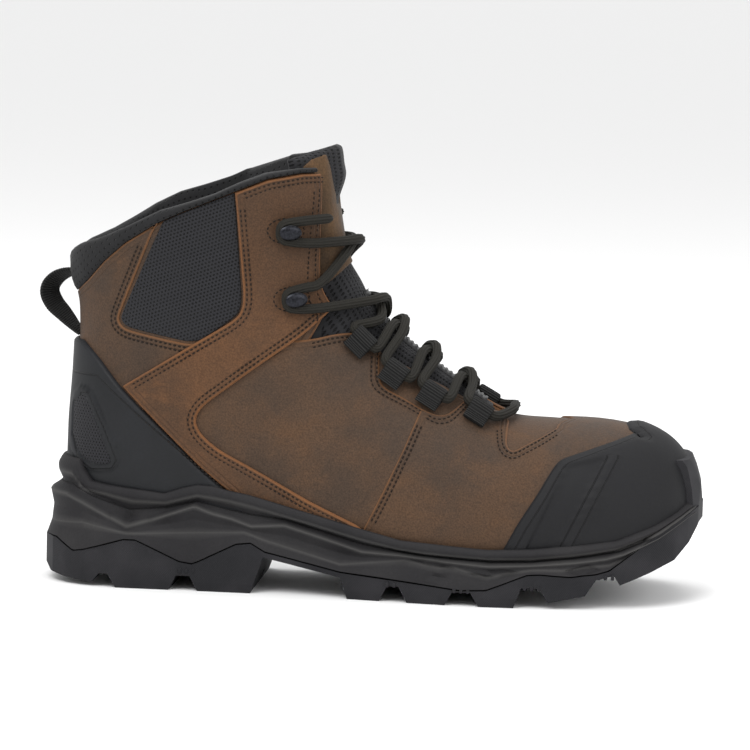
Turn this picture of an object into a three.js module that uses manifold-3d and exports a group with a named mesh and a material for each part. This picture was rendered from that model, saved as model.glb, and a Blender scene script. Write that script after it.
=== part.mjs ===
// A lace-up safety boot, right foot, about EU 43: leather ankle boot with a rubber toe cap,
// a moulded heel counter, padded cuff, webbing lace loops, speed hooks and a lugged sole.
// Millimetres. +X points to the toe, +Y to the inner (medial) side, +Z up; the ground is z = 0.
import * as THREE from "three";
import { mergeVertices } from "three/addons/utils/BufferGeometryUtils.js";
import Module from "manifold-3d";

const wasm = await Module();
wasm.setup();

// Driving sizes.
const bootLength = 314; // back of the heel to the front of the toe guard
const bootHeight = 208; // floor to the top of the tongue
const ballWidth = 103; // upper, across the ball
const soleWidth = 113; // sole, across the ball
const upperWall = 2.6; // leather and lining
const overlayLeather = 1.6; // straps and back quarter sewn on the upper
const toeCapWall = 2.2;
const counterWall = 2.2;
const counterMeshWall = 1.2;
const ankleMeshWall = 1.2;
const eyestayRecess = 0.8; // the facing under the lace loops lies lower than the vamp
const cuffOut = 1.4; // the padded cuff stands proud of the leather
const cuffIn = 8; // and this far inwards
const liningSkirt = 30; // the cuff's lining hangs this far down inside
const cuffSideRise = 5; // the inner side of the collar is higher than the outer side
const tongueWall = 5;
const tongueInset = 0.6; // the tongue's crest lies this far under the leather's line
const tongueLap = 9; // it reaches this far under each eyestay
const insoleWall = 4;
const lastingMargin = 8; // turned-in edge of the upper under the foot
const laceDiameter = 4.2;
const webbingWidth = 11;
const webbingWall = 1.3;
const webbingTail = 9.5;
const pullLoopWidth = 15;
const pullLoopWall = 1.8;
const treadChannel = 7; // width of the channel down the middle of the tread
const seat = 0.3; // clearance between pieces that meet

// The last, as sections that fan out from the toe to the collar. Each section lies in the plane
// through its crest and base points. Lengths are shares: x of bootLength, z of bootHeight,
// lateral and medial half widths of ballWidth. widest is the share of the section's height at
// which it is widest; low and high are the roundness below and above that.
const lastSections = [
  { crestX: 0.78, crestZ: 0.401, baseX: 0.78, baseZ: 0.082, lateral: 0.49, medial: 0.48, widest: 0.3, low: 4, high: 2.3, centre: 3 },
  { crestX: 0.704, crestZ: 0.411, baseX: 0.685, baseZ: 0.07, lateral: 0.505, medial: 0.47, widest: 0.29, low: 4, high: 2.3, centre: 2 },
  { crestX: 0.647, crestZ: 0.461, baseX: 0.593, baseZ: 0.076, lateral: 0.495, medial: 0.44, widest: 0.27, low: 4, high: 2.2, centre: 1 },
  { crestX: 0.589, crestZ: 0.521, baseX: 0.487, baseZ: 0.099, lateral: 0.45, medial: 0.4, widest: 0.26, low: 4, high: 2.15, centre: 0.5 },
  { crestX: 0.537, crestZ: 0.583, baseX: 0.377, baseZ: 0.128, lateral: 0.405, medial: 0.375, widest: 0.28, low: 3.8, high: 2.1, centre: 0 },
  { crestX: 0.498, crestZ: 0.643, baseX: 0.268, baseZ: 0.148, lateral: 0.375, medial: 0.36, widest: 0.32, low: 3.4, high: 2.1, centre: 0 },
  { crestX: 0.474, crestZ: 0.706, baseX: 0.156, baseZ: 0.154, lateral: 0.36, medial: 0.358, widest: 0.38, low: 3, high: 2.15, centre: 0 },
  { crestX: 0.458, crestZ: 0.745, baseX: 0.077, baseZ: 0.17, lateral: 0.355, medial: 0.355, widest: 0.43, low: 2.7, high: 2.2, centre: 0 },
  { crestX: 0.45, crestZ: 0.777, baseX: 0.042, baseZ: 0.223, lateral: 0.352, medial: 0.352, widest: 0.46, low: 2.5, high: 2.3, centre: 0 },
  { crestX: 0.443, crestZ: 0.823, baseX: 0.038, baseZ: 0.345, lateral: 0.35, medial: 0.35, widest: 0.47, low: 2.35, high: 2.5, centre: 0 },
  { crestX: 0.437, crestZ: 0.877, baseX: 0.043, baseZ: 0.491, lateral: 0.352, medial: 0.352, widest: 0.48, low: 2.1, high: 2.7, centre: 0 },
  { crestX: 0.432, crestZ: 0.929, baseX: 0.044, baseZ: 0.617, lateral: 0.36, medial: 0.36, widest: 0.48, low: 2, high: 2.9, centre: 0 },
  { crestX: 0.425, crestZ: 0.975, baseX: 0.033, baseZ: 0.725, lateral: 0.372, medial: 0.372, widest: 0.48, low: 2.1, high: 3, centre: 0 },
  { crestX: 0.417, crestZ: 1.01, baseX: 0.032, baseZ: 0.81, lateral: 0.378, medial: 0.378, widest: 0.48, low: 2.1, high: 3, centre: 0 },
];
const lastSectionCount = lastSections.length;
const collarSection = lastSectionCount - 1;
const toeTip = { x: 0.979 * bootLength, y: 6, z: 0.216 * bootHeight, side: 2.8, plan: 2.4 };

// A value of a table at a row number with a fraction, on a smooth curve through its rows.
function smoothRow(rows, at, key) {
  const last = rows.length - 1;
  const held = Math.min(Math.max(at, 0), last);
  const i = Math.min(Math.floor(held), last - 1);
  const f = held - i;
  const p1 = rows[i][key];
  const p2 = rows[i + 1][key];
  const p0 = i > 0 ? rows[i - 1][key] : 2 * p1 - p2;
  const p3 = i < last - 1 ? rows[i + 2][key] : 2 * p2 - p1;
  const curve = (2 * p0 - 5 * p1 + 4 * p2 - p3) * f * f + (3 * p1 - p0 - 3 * p2 + p3) * f ** 3;
  return 0.5 * (2 * p1 + (p2 - p0) * f + curve);
}

// A value along a broken line of points with an x share, for any x in millimetres.
function alongX(points, x, key = "z") {
  const share = x / bootLength;
  if (share <= points[0].x) return points[0][key];
  for (let i = 1; i < points.length; i++) {
    const [a, b] = [points[i - 1], points[i]];
    if (share <= b.x) return a[key] + ((b[key] - a[key]) * (share - a.x)) / (b.x - a.x);
  }
  return points[points.length - 1][key];
}

// One section of the last. turn counts sections from the ball (0) to the collar;
// below 0 it runs round the toe, to the tip at -1.
function lastSection(turn) {
  const at = Math.max(turn, 0);
  const read = (key) => smoothRow(lastSections, at, key);
  const s = {
    crestX: read("crestX") * bootLength,
    crestZ: read("crestZ") * bootHeight,
    baseX: read("baseX") * bootLength,
    baseZ: read("baseZ") * bootHeight,
    lateral: read("lateral") * ballWidth,
    medial: read("medial") * ballWidth,
    widest: read("widest"),
    low: read("low"),
    high: read("high"),
    centre: read("centre"),
  };
  if (turn >= 0) return s;
  const t = Math.sin((Math.min(-turn, 1) * Math.PI) / 2);
  const side = (1 - t ** toeTip.side) ** (1 / toeTip.side);
  const plan = (1 - t ** toeTip.plan) ** (1 / toeTip.plan);
  s.crestX = s.baseX = s.crestX + (toeTip.x - s.crestX) * t;
  s.crestZ = toeTip.z + (s.crestZ - toeTip.z) * side;
  s.baseZ = toeTip.z + (s.baseZ - toeTip.z) * side;
  s.lateral *= plan;
  s.medial *= plan;
  s.centre += (toeTip.y - s.centre) * t;
  return s;
}

// A point on the bare last. angle runs from the crest (0) down the lateral side to the base
// (PI) and up the medial side.
function lastSurface(turn, angle) {
  const s = lastSection(turn);
  const c = Math.cos(angle);
  const d = Math.sin(angle);
  const power = 2 / (c > 0 ? s.high : s.low);
  const across = Math.abs(d) ** power;
  const up = Math.abs(c) ** power;
  const y = s.centre + (d > 0 ? -s.lateral : s.medial) * across;
  const h = c > 0 ? s.widest + (1 - s.widest) * up : s.widest - s.widest * up;
  return new THREE.Vector3(
    s.baseX + (s.crestX - s.baseX) * h,
    y,
    s.baseZ + (s.crestZ - s.baseZ) * h,
  );
}

// The outward normal there, from neighbouring points.
function lastNormal(turn, angle) {
  const du = 0.02;
  const da = 0.03;
  const ahead = lastSurface(Math.max(turn - du, -0.995), angle);
  const behind = lastSurface(Math.min(turn + du, collarSection), angle);
  const around = lastSurface(turn, angle + da).sub(lastSurface(turn, angle - da));
  return behind.sub(ahead).cross(around).normalize();
}

// A point that stands off the last by lift.
function onLast(turn, angle, lift) {
  return lastSurface(turn, angle).addScaledVector(lastNormal(turn, angle), lift);
}

// The angle at which a section's upper half passes the sideways place y.
function angleAtY(turn, y) {
  const s = lastSection(turn);
  const half = y < s.centre ? s.lateral : s.medial;
  const across = Math.min(Math.abs(y - s.centre) / half, 1) ** (s.high / 2);
  const angle = Math.asin(across);
  return y < s.centre ? angle : 2 * Math.PI - angle;
}

// A point over the crest, at a sideways place y and standing off by lift.
function overCrest(turn, y, lift) {
  return onLast(turn, angleAtY(turn, y), lift);
}

// The turn of the section whose plane passes the side view's point at x and z.
function turnFromSide(x, z) {
  const front = lastSection(0).crestX;
  if (x > front) {
    const t = Math.min((x - front) / (toeTip.x - front), 1);
    return (-2 * Math.asin(t)) / Math.PI;
  }
  let low = 0;
  let high = collarSection;
  for (let i = 0; i < 30; i++) {
    const turn = (low + high) / 2;
    const s = lastSection(turn);
    const behind = (s.crestX - s.baseX) * (z - s.baseZ) - (s.crestZ - s.baseZ) * (x - s.baseX);
    if (behind > 0) low = turn;
    else high = turn;
  }
  return (low + high) / 2;
}

// The section, height share and angle of the surface point that the side view shows there.
function fromSide(x, z, side) {
  const turn = turnFromSide(x, z);
  const s = lastSection(turn);
  const [dx, dz] = [s.crestX - s.baseX, s.crestZ - s.baseZ];
  const h = ((x - s.baseX) * dx + (z - s.baseZ) * dz) / Math.max(dx * dx + dz * dz, 0.01);
  const up = h > s.widest;
  const share = Math.min(up ? (h - s.widest) / (1 - s.widest) : (s.widest - h) / s.widest, 1);
  const lean = Math.acos(share ** ((up ? s.high : s.low) / 2));
  const angle = up ? lean : Math.PI - lean;
  return { turn, h, angle: side === "lateral" ? angle : 2 * Math.PI - angle };
}

// A closed mesh from rings of points, each end closed by a fan to its own point.
function loft(rings, startPoint, endPoint) {
  const around = rings[0].length;
  const points = [startPoint, ...rings.flat(), endPoint];
  const faces = [];
  const index = (ring, i) => 1 + ring * around + (i % around);
  const last = rings.length - 1;
  for (let i = 0; i < around; i++) {
    faces.push(0, index(0, i + 1), index(0, i));
    for (let r = 0; r < last; r++) {
      faces.push(index(r, i), index(r, i + 1), index(r + 1, i + 1));
      faces.push(index(r, i), index(r + 1, i + 1), index(r + 1, i));
    }
    faces.push(index(last, i), index(last, i + 1), points.length - 1);
  }
  return geometryFrom(points, faces);
}

// A closed mesh from level rings that start at the heel, run along the lateral side to the toe
// and come back; top and bottom are closed from side to side.
function levelLoft(rings) {
  const around = rings[0].length;
  const half = around / 2;
  const points = rings.flat();
  const faces = [];
  const index = (ring, i) => ring * around + (i % around);
  for (let r = 0; r < rings.length - 1; r++)
    for (let i = 0; i < around; i++) {
      faces.push(index(r, i), index(r, i + 1), index(r + 1, i + 1));
      faces.push(index(r, i), index(r + 1, i + 1), index(r + 1, i));
    }
  const closed = (ring, flip) => {
    for (let i = 0; i < half; i++) {
      const quad = [i, i + 1, around - i - 1, around - i].map((k) => index(ring, k));
      const triangles = [[quad[0], quad[1], quad[2]], [quad[0], quad[2], quad[3]]];
      for (const [a, b, c] of triangles)
        if (a !== b && b !== c && c !== a) faces.push(...(flip ? [a, c, b] : [a, b, c]));
    }
  };
  closed(0, true);
  closed(rings.length - 1, false);
  return geometryFrom(points, faces);
}

function geometryFrom(points, faces) {
  const geometry = new THREE.BufferGeometry().setFromPoints(points);
  geometry.setIndex(faces);
  return geometry;
}

// A three.js geometry as a solid, with its faces turned outwards.
function solidOf(geometry) {
  const bare = geometry.clone();
  bare.deleteAttribute("normal");
  bare.deleteAttribute("uv");
  const merged = mergeVertices(bare, 1e-4);
  const withFaces = (triVerts) =>
    new wasm.Manifold(
      new wasm.Mesh({
        numProp: 3,
        vertProperties: merged.attributes.position.array,
        triVerts,
      }),
    );
  const solid = withFaces(new Uint32Array(merged.index.array));
  if (solid.volume() > 0) return solid;
  return withFaces(new Uint32Array(merged.index.array).reverse());
}

// A solid as a three.js geometry.
function geometryOf(solid) {
  const mesh = solid.getMesh();
  const geometry = new THREE.BufferGeometry();
  geometry.setAttribute("position", new THREE.BufferAttribute(mesh.vertProperties, 3));
  geometry.setIndex(new THREE.BufferAttribute(mesh.triVerts, 1));
  return geometry;
}

// The largest piece of a cut, without the crumbs and slivers that a cut may leave.
const crumb = 0.06;
function mainBody(solid) {
  const body = solid.decompose().reduce((a, b) => (b.volume() > a.volume() ? b : a));
  return body.simplify(crumb);
}

// The whole last grown outwards by lift, as a closed solid.
const toeTurns = [-0.97, -0.86, -0.7, -0.5, -0.28];
const lastAround = 22;
const lastKept = new Map();
function lastSolid(lift) {
  if (lastKept.has(lift)) return lastKept.get(lift);
  const turns = [...toeTurns, ...lastSections.keys()];
  const rings = turns.map((turn) =>
    Array.from({ length: lastAround }, (_, i) => onLast(turn, (2 * Math.PI * i) / lastAround, lift)),
  );
  const tip = new THREE.Vector3(toeTip.x + lift, toeTip.y, toeTip.z);
  const solid = solidOf(loft(rings, tip, middleOf(rings[rings.length - 1])));
  lastKept.set(lift, solid);
  return solid;
}

function middleOf(ring) {
  return ring.reduce((sum, p) => sum.add(p), new THREE.Vector3()).divideScalar(ring.length);
}

// The space between two grown lasts.
function shell(inner, outer) {
  return lastSolid(outer).subtract(lastSolid(inner));
}

// A side-view outline in shares, as a block from one sideways place to another.
function sideBlock(outline, fromY, toY) {
  const shape = new THREE.Shape(
    outline.map(({ x, z }) => new THREE.Vector2(x * bootLength, z * bootHeight)),
  );
  const geometry = new THREE.ExtrudeGeometry(shape, { depth: toY - fromY, bevelEnabled: false });
  geometry.rotateX(Math.PI / 2).translate(0, toY, 0);
  return solidOf(geometry);
}

const reach = ballWidth; // further out than any piece
const sides = { lateral: -1, medial: 1 };
function blockOn(side, outline) {
  if (side === "lateral") return sideBlock(outline, -reach, 0);
  if (side === "medial") return sideBlock(outline, 0, reach);
  return sideBlock(outline, -reach, reach);
}

// A block grown by the clearance to its neighbours, in its side view.
function grown(block) {
  return [[1, 0], [-1, 0], [0, 1], [0, -1]].reduce(
    (all, [dx, dz]) => all.add(block.translate([dx * seat, 0, dz * seat])),
    block,
  );
}

// Lines of the side view, in shares of bootLength and bootHeight.
const xz = (x, z) => ({ x, z });
const leatherTop = [
  xz(-0.1, 0.635), xz(0.02, 0.644), xz(0.041, 0.661), xz(0.065, 0.693), xz(0.093, 0.739),
  xz(0.127, 0.784), xz(0.178, 0.832), xz(0.218, 0.86), xz(0.293, 0.907), xz(0.341, 0.937),
  xz(0.389, 0.951), xz(0.6, 0.956),
];
const cuffTop = [
  xz(-0.1, 0.735), xz(0.03, 0.757), xz(0.05, 0.776), xz(0.08, 0.79), xz(0.127, 0.822),
  xz(0.179, 0.861), xz(0.218, 0.879), xz(0.26, 0.901), xz(0.301, 0.93), xz(0.341, 0.953),
  xz(0.389, 0.965), xz(0.6, 0.969),
];
const collarRise = { from: 0.04, run: 0.1 }; // where the medial collar starts to rise, in x
const lipLine = [
  xz(0, 0.286), xz(0.05, 0.286), xz(0.055, 0.265), xz(0.071, 0.238), xz(0.102, 0.232),
  xz(0.146, 0.226), xz(0.194, 0.219), xz(0.223, 0.235), xz(0.245, 0.243), xz(0.271, 0.242),
  xz(0.29, 0.234), xz(0.325, 0.225), xz(0.411, 0.193), xz(0.5, 0.16), xz(0.554, 0.141),
  xz(0.589, 0.138), xz(0.685, 0.128), xz(0.752, 0.132), xz(0.815, 0.142), xz(0.879, 0.154),
  xz(0.939, 0.184), xz(0.975, 0.21), xz(1, 0.24),
];
const beadLine = [
  xz(0, 0.25), xz(0.048, 0.25), xz(0.067, 0.216), xz(0.102, 0.21), xz(0.146, 0.196),
  xz(0.197, 0.196), xz(0.245, 0.217), xz(0.293, 0.209), xz(0.328, 0.198), xz(0.414, 0.167),
  xz(0.5, 0.135), xz(0.554, 0.119), xz(0.589, 0.114), xz(0.688, 0.106), xz(0.752, 0.108),
  xz(0.815, 0.119), xz(0.879, 0.135), xz(0.939, 0.17), xz(0.981, 0.209), xz(1, 0.22),
];
const grooveLine = [
  xz(0, 0.228), xz(0.05, 0.226), xz(0.083, 0.204), xz(0.14, 0.175), xz(0.197, 0.186),
  xz(0.245, 0.205), xz(0.293, 0.188), xz(0.328, 0.178), xz(0.379, 0.172), xz(0.443, 0.147),
  xz(0.5, 0.125), xz(0.554, 0.115), xz(0.589, 0.109), xz(0.688, 0.101), xz(0.752, 0.103),
  xz(0.815, 0.114), xz(0.879, 0.13), xz(0.939, 0.165), xz(0.981, 0.204), xz(1, 0.215),
];
const ridgeLine = [
  xz(0, 0.207), xz(0.041, 0.205), xz(0.07, 0.188), xz(0.105, 0.162), xz(0.137, 0.138),
  xz(0.175, 0.156), xz(0.21, 0.176), xz(0.242, 0.194), xz(0.268, 0.179), xz(0.299, 0.168),
  xz(0.328, 0.152), xz(0.379, 0.16), xz(0.443, 0.133), xz(0.497, 0.109), xz(0.554, 0.107),
  xz(0.6, 0.1), xz(0.688, 0.092), xz(0.752, 0.096), xz(0.815, 0.105), xz(0.86, 0.114),
  xz(0.889, 0.125), xz(0.939, 0.158), xz(0.981, 0.198), xz(1, 0.21),
];
const facetLine = [
  xz(0, 0.135), xz(0.07, 0.144), xz(0.137, 0.125), xz(0.153, 0.125), xz(0.232, 0.132),
  xz(0.318, 0.138), xz(0.347, 0.123), xz(0.465, 0.077), xz(0.561, 0.095), xz(0.615, 0.082),
  xz(0.634, 0.086), xz(0.685, 0.065), xz(0.717, 0.077), xz(0.752, 0.086), xz(0.799, 0.087),
  xz(0.838, 0.096), xz(0.866, 0.1), xz(0.889, 0.115), xz(0.939, 0.15), xz(0.981, 0.19), xz(1, 0.2),
];
const outsoleTop = [
  xz(-0.02, 0.103), xz(0.025, 0.103), xz(0.054, 0.078), xz(0.07, 0.082), xz(0.134, 0.111),
  xz(0.153, 0.111), xz(0.22, 0.066), xz(0.239, 0.062), xz(0.248, 0.067), xz(0.306, 0.111),
  xz(0.328, 0.115), xz(0.35, 0.096), xz(0.465, 0.06), xz(0.525, 0.053), xz(0.576, 0.046),
  xz(0.646, 0.035), xz(0.685, 0.038), xz(0.71, 0.053), xz(0.745, 0.075), xz(0.764, 0.077),
  xz(0.809, 0.073), xz(0.847, 0.08), xz(0.866, 0.088), xz(0.889, 0.114), xz(0.927, 0.158),
  xz(0.981, 0.207), xz(1.02, 0.24),
];
const treadProfile = [
  xz(0, 0.103), xz(0, 0.077), xz(0.003, 0.038), xz(0.014, 0.022), xz(0.041, 0.015),
  xz(0.086, 0.01), xz(0.097, 0.031), xz(0.111, 0.031), xz(0.123, 0), xz(0.204, 0),
  xz(0.215, 0.034), xz(0.236, 0.034), xz(0.248, 0), xz(0.328, 0), xz(0.347, 0.084),
  xz(0.465, 0.048), xz(0.476, 0), xz(0.525, 0), xz(0.537, 0.036), xz(0.554, 0.036),
  xz(0.567, 0), xz(0.624, 0), xz(0.635, 0.031), xz(0.662, 0.031), xz(0.674, 0), xz(0.726, 0),
  xz(0.737, 0.046), xz(0.764, 0.046), xz(0.777, 0.014), xz(0.831, 0.031), xz(0.847, 0.067),
  xz(0.873, 0.077), xz(0.882, 0.055), xz(0.922, 0.079), xz(0.961, 0.106), xz(0.982, 0.142),
  xz(0.995, 0.178), xz(1.02, 0.19),
];
const guardProfile = [
  xz(0.93, 0.1), xz(0.961, 0.106), xz(0.982, 0.142), xz(0.995, 0.178), xz(0.999, 0.221),
  xz(0.996, 0.26), xz(0.989, 0.296), xz(0.982, 0.322), xz(0.93, 0.322),
];

const strapOutline = [
  xz(0.293, 0.9), xz(0.3, 0.911), xz(0.341, 0.935), xz(0.389, 0.949), xz(0.56, 0.949),
  xz(0.56, 0.66), xz(0.446, 0.66), xz(0.439, 0.643), xz(0.395, 0.583), xz(0.321, 0.502),
  xz(0.246, 0.416), xz(0.238, 0.39), xz(0.243, 0.363), xz(0.271, 0.328), xz(0.339, 0.276),
  xz(0.415, 0.217), xz(0.499, 0.162), xz(0.49, 0.1), xz(0.25, 0.1), xz(0.1, 0.4),
  xz(0.127, 0.457), xz(0.23, 0.557), xz(0.296, 0.619), xz(0.304, 0.635), xz(0.308, 0.665),
];
const ankleMeshOutline = [
  xz(0.178, 0.828), xz(0.287, 0.889), xz(0.302, 0.665), xz(0.299, 0.637), xz(0.291, 0.621),
  xz(0.244, 0.565), xz(0.223, 0.56), xz(0.13, 0.587), xz(0.116, 0.603), xz(0.118, 0.621),
];
const counterOutline = [
  xz(-0.1, 0.56), xz(0.041, 0.563), xz(0.062, 0.553), xz(0.088, 0.518), xz(0.127, 0.457),
  xz(0.187, 0.369), xz(0.248, 0.281), xz(0.298, 0.222), xz(0.3, 0.1), xz(-0.1, 0.1),
];
const windowOutline = [
  xz(0.045, 0.433), xz(0.066, 0.433), xz(0.075, 0.425), xz(0.086, 0.384), xz(0.101, 0.339),
  xz(0.115, 0.299), xz(0.113, 0.28), xz(0.092, 0.272), xz(0.072, 0.28), xz(0.057, 0.305),
  xz(0.049, 0.345),
];
const toeCapOutline = [
  xz(0.876, 0.5), xz(0.876, 0.404), xz(0.902, 0.39), xz(0.883, 0.371), xz(0.847, 0.363),
  xz(0.792, 0.333), xz(0.777, 0.316), xz(0.745, 0.231), xz(0.709, 0.131), xz(0.7, 0.06),
  xz(1.1, 0.06), xz(1.1, 0.5),
];
const facingOutline = [
  xz(0.5, 0.62), xz(0.51, 0.476), xz(0.517, 0.459), xz(0.585, 0.419), xz(0.618, 0.41),
  xz(0.644, 0.429), xz(0.66, 0.46), xz(0.66, 0.62),
];
const pullLoopOutline = [
  xz(0.06, 0.715), xz(0.024, 0.714), xz(0.01, 0.708), xz(-0.007, 0.678), xz(-0.0075, 0.655),
  xz(0.003, 0.622), xz(0.034, 0.572), xz(0.06, 0.569), xz(0.06, 0.584), xz(0.038, 0.588),
  xz(0.012, 0.627), xz(0.002, 0.658), xz(0.002, 0.672), xz(0.017, 0.692), xz(0.028, 0.697),
  xz(0.06, 0.697),
];

// Half width of the throat opening along the crest, as a share of ballWidth, by section.
const throatEdge = [
  { turn: 1.05, half: 0.06 }, { turn: 1.35, half: 0.112 }, { turn: 2, half: 0.155 },
  { turn: 3, half: 0.185 }, { turn: 4.2, half: 0.204 }, { turn: 4.8, half: 0.233 },
  { turn: 5.2, half: 0.3 }, { turn: 5.7, half: 0.262 }, { turn: 6.2, half: 0.218 },
  { turn: 8, half: 0.214 }, { turn: 10.5, half: 0.214 }, { turn: 13, half: 0.214 },
];
function throatHalf(turn) {
  const edge = throatEdge;
  if (turn <= edge[0].turn) return edge[0].half * ballWidth;
  const next = edge.findIndex((row) => turn <= row.turn);
  if (next < 0) return edge[edge.length - 1].half * ballWidth;
  const [a, b] = [edge[next - 1], edge[next]];
  return (a.half + ((b.half - a.half) * (turn - a.turn)) / (b.turn - a.turn)) * ballWidth;
}

// A block along the crest that opens the throat, and the collar above it.
const throatCut = { above: 30, below: 9 };
function throatCutter(extra) {
  const rings = throatEdge.map(({ turn, half }) => {
    const s = lastSection(turn);
    const along = new THREE.Vector3(s.crestX - s.baseX, 0, s.crestZ - s.baseZ).normalize();
    const crest = new THREE.Vector3(s.crestX, s.centre, s.crestZ);
    const wide = half * ballWidth + extra;
    const edge = lastSurface(turn, angleAtY(turn, s.centre + wide));
    const below = crest.clone().sub(edge).dot(along) + throatCut.below;
    const corner = (rise, y) => crest.clone().addScaledVector(along, rise).setY(s.centre + y);
    const above = throatCut.above;
    return [corner(-below, -wide), corner(-below, wide), corner(above, wide), corner(above, -wide)];
  });
  const top = rings[rings.length - 1].map((p) => p.clone().setZ(p.z + throatCut.below));
  rings.push(top);
  return solidOf(loft(rings, middleOf(rings[0]), middleOf(top)));
}

// The region above a line of the side view, moved by lift; the medial collar may lie higher.
function aboveLine(line, lift, rise = 0) {
  const raised = (most) => [
    ...line.map(({ x, z }) => {
      const share = Math.min(Math.max((x - collarRise.from) / collarRise.run, 0), 1);
      return xz(x, z + (lift + most * share) / bootHeight);
    }),
    xz(line[line.length - 1].x, 1.4), xz(line[0].x, 1.4),
  ];
  if (rise === 0) return blockOn("both", raised(0));
  return blockOn("lateral", raised(0)).add(blockOn("medial", raised(rise)));
}
const aboveLeather = (lift) => aboveLine(leatherTop, lift, cuffSideRise);

// The space under the last's own bottom, inside the turned-in edge of the upper.
function underFoot(margin) {
  return lastSolid(-margin).translate([0, 0, -margin - upperWall]);
}

// Leather upper: one hollow wall, open at the collar, the throat and under the foot, with a
// lower facing under the lace loops and a recess for the ankle mesh.
function makeUpper() {
  let wall = shell(-upperWall, 0).subtract(underFoot(lastingMargin));
  wall = wall.subtract(throatCutter(0)).subtract(aboveLeather(0));
  for (const side of ["lateral", "medial"]) {
    wall = wall.subtract(shell(-eyestayRecess, 3).intersect(blockOn(side, facingOutline)));
    wall = wall.subtract(shell(-ankleMeshWall, 3).intersect(blockOn(side, ankleMeshOutline)));
  }
  return mainBody(wall);
}

// Footbed inside, with the board that fills the upper's open underside.
function makeInsole() {
  const rise = (upperWall + seat + insoleWall) / bootHeight;
  const outline = [
    xz(1, toeTip.z / bootHeight - 0.09), xz(0.9, lastSections[0].baseZ + 1.4 * rise),
    ...lastSections.slice(0, 8).map((s) => xz(s.baseX, s.baseZ + rise)),
    xz(0, 0.2), xz(0, 0), xz(1, 0),
  ];
  const below = blockOn("both", outline);
  const pad = lastSolid(-upperWall - seat).intersect(below);
  const board = lastSolid(0).intersect(underFoot(lastingMargin + seat)).intersect(below);
  return mainBody(pad.add(board));
}

// Padded cuff: the band above the leather, and its lining down inside the shaft.
function makeCuff() {
  const band = shell(-cuffIn, cuffOut).intersect(aboveLeather(seat));
  const lining = shell(-cuffIn, -upperWall - seat).intersect(aboveLeather(-liningSkirt));
  const top = aboveLine(cuffTop, 0, cuffSideRise);
  return mainBody(band.add(lining).subtract(top).subtract(throatCutter(seat)));
}

// A strip along the crest. At each turn, places gives its sideways points with the lift of
// its outer side there; its inner side lies deeper by wall.
function crestStrip(turns, places, wall) {
  const rings = turns.map((turn) => {
    const centre = lastSection(turn).centre;
    const spots = places(turn);
    const outer = spots.map(({ y, lift }) => overCrest(turn, centre + y, lift));
    const inner = spots.map(({ y, lift }) => overCrest(turn, centre + y, lift - wall));
    return [...outer, ...inner.reverse()];
  });
  return solidOf(loft(rings, middleOf(rings[0]), middleOf(rings[rings.length - 1])));
}

// Tongue: padded, under the eyestays, filling the throat and standing above the collar.
const tongueTurns = [0.85, 1.05, 1.35, 2, 2.5, 3, 3.6, 4.2, 4.8, 5.2, 5.7, 6.2, 7, 8, 9, 10, 11, 12, 12.7];
const tongueClosed = 1.35; // up to here the whole tongue lies under the vamp
const tongueRamp = { from: 7.5, to: 1.2 }; // where it dips under the eyestay's edge
function makeTongue() {
  const under = -(upperWall + 4 * seat);
  const places = (turn) => {
    const open = throatHalf(turn);
    const widest = Math.min(open + tongueLap, 0.86 * lastSection(turn).lateral);
    const top = turn < tongueClosed ? under : -tongueInset;
    const inner = Math.max(open - tongueRamp.from, open / 3);
    const half = [
      { y: widest, lift: under },
      { y: Math.max(open - tongueRamp.to, 0.6 * widest), lift: under },
      { y: inner, lift: top },
      { y: inner / 2, lift: top },
    ];
    return [
      ...half.map(({ y, lift }) => ({ y: -y, lift })), { y: 0, lift: top }, ...half.reverse(),
    ];
  };
  const cuffRoom = shell(-cuffIn - seat, cuffOut + seat)
    .intersect(aboveLeather(-liningSkirt - seat))
    .subtract(throatCutter(0));
  return mainBody(crestStrip(tongueTurns, places, tongueWall).subtract(cuffRoom));
}

// Ribbed webbing down the middle of the tongue.
const tongueStripTurns = [1.6, 2.2, 3, 3.8, 4.6, 5.1, 5.6];
const tongueStripShares = [-1, -0.5, 0, 0.5, 1];
function makeTongueStrip() {
  const lift = 2 * seat - tongueInset + webbingWall;
  const places = () => tongueStripShares.map((share) => ({ y: 0.6 * webbingWidth * share, lift }));
  return crestStrip(tongueStripTurns, places, webbingWall);
}

// Sole outline at evenly spaced stations from the heel to the ball, as shares of soleWidth.
const solePlan = {
  heel: 0.143, ball: 0.78, heelPower: 2.3, toePower: 2.5, toeShift: 0.053,
  rows: [
    { lateral: 0.354, medial: 0.35 }, { lateral: 0.363, medial: 0.345 },
    { lateral: 0.379, medial: 0.336 }, { lateral: 0.418, medial: 0.35 },
    { lateral: 0.469, medial: 0.394 }, { lateral: 0.504, medial: 0.456 },
    { lateral: 0.496, medial: 0.478 },
  ],
};
const soleStations = [
  0, 0.005, 0.02, 0.042, 0.07, 0.105, 0.137, 0.175, 0.21, 0.242, 0.268, 0.299, 0.328, 0.379,
  0.443, 0.5, 0.554, 0.6, 0.644, 0.688, 0.735, 0.78, 0.825, 0.865, 0.9, 0.93, 0.957, 0.978,
  0.992, 1,
];
const soleFront = 0.999; // the rubber toe guard is the front of the boot

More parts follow.
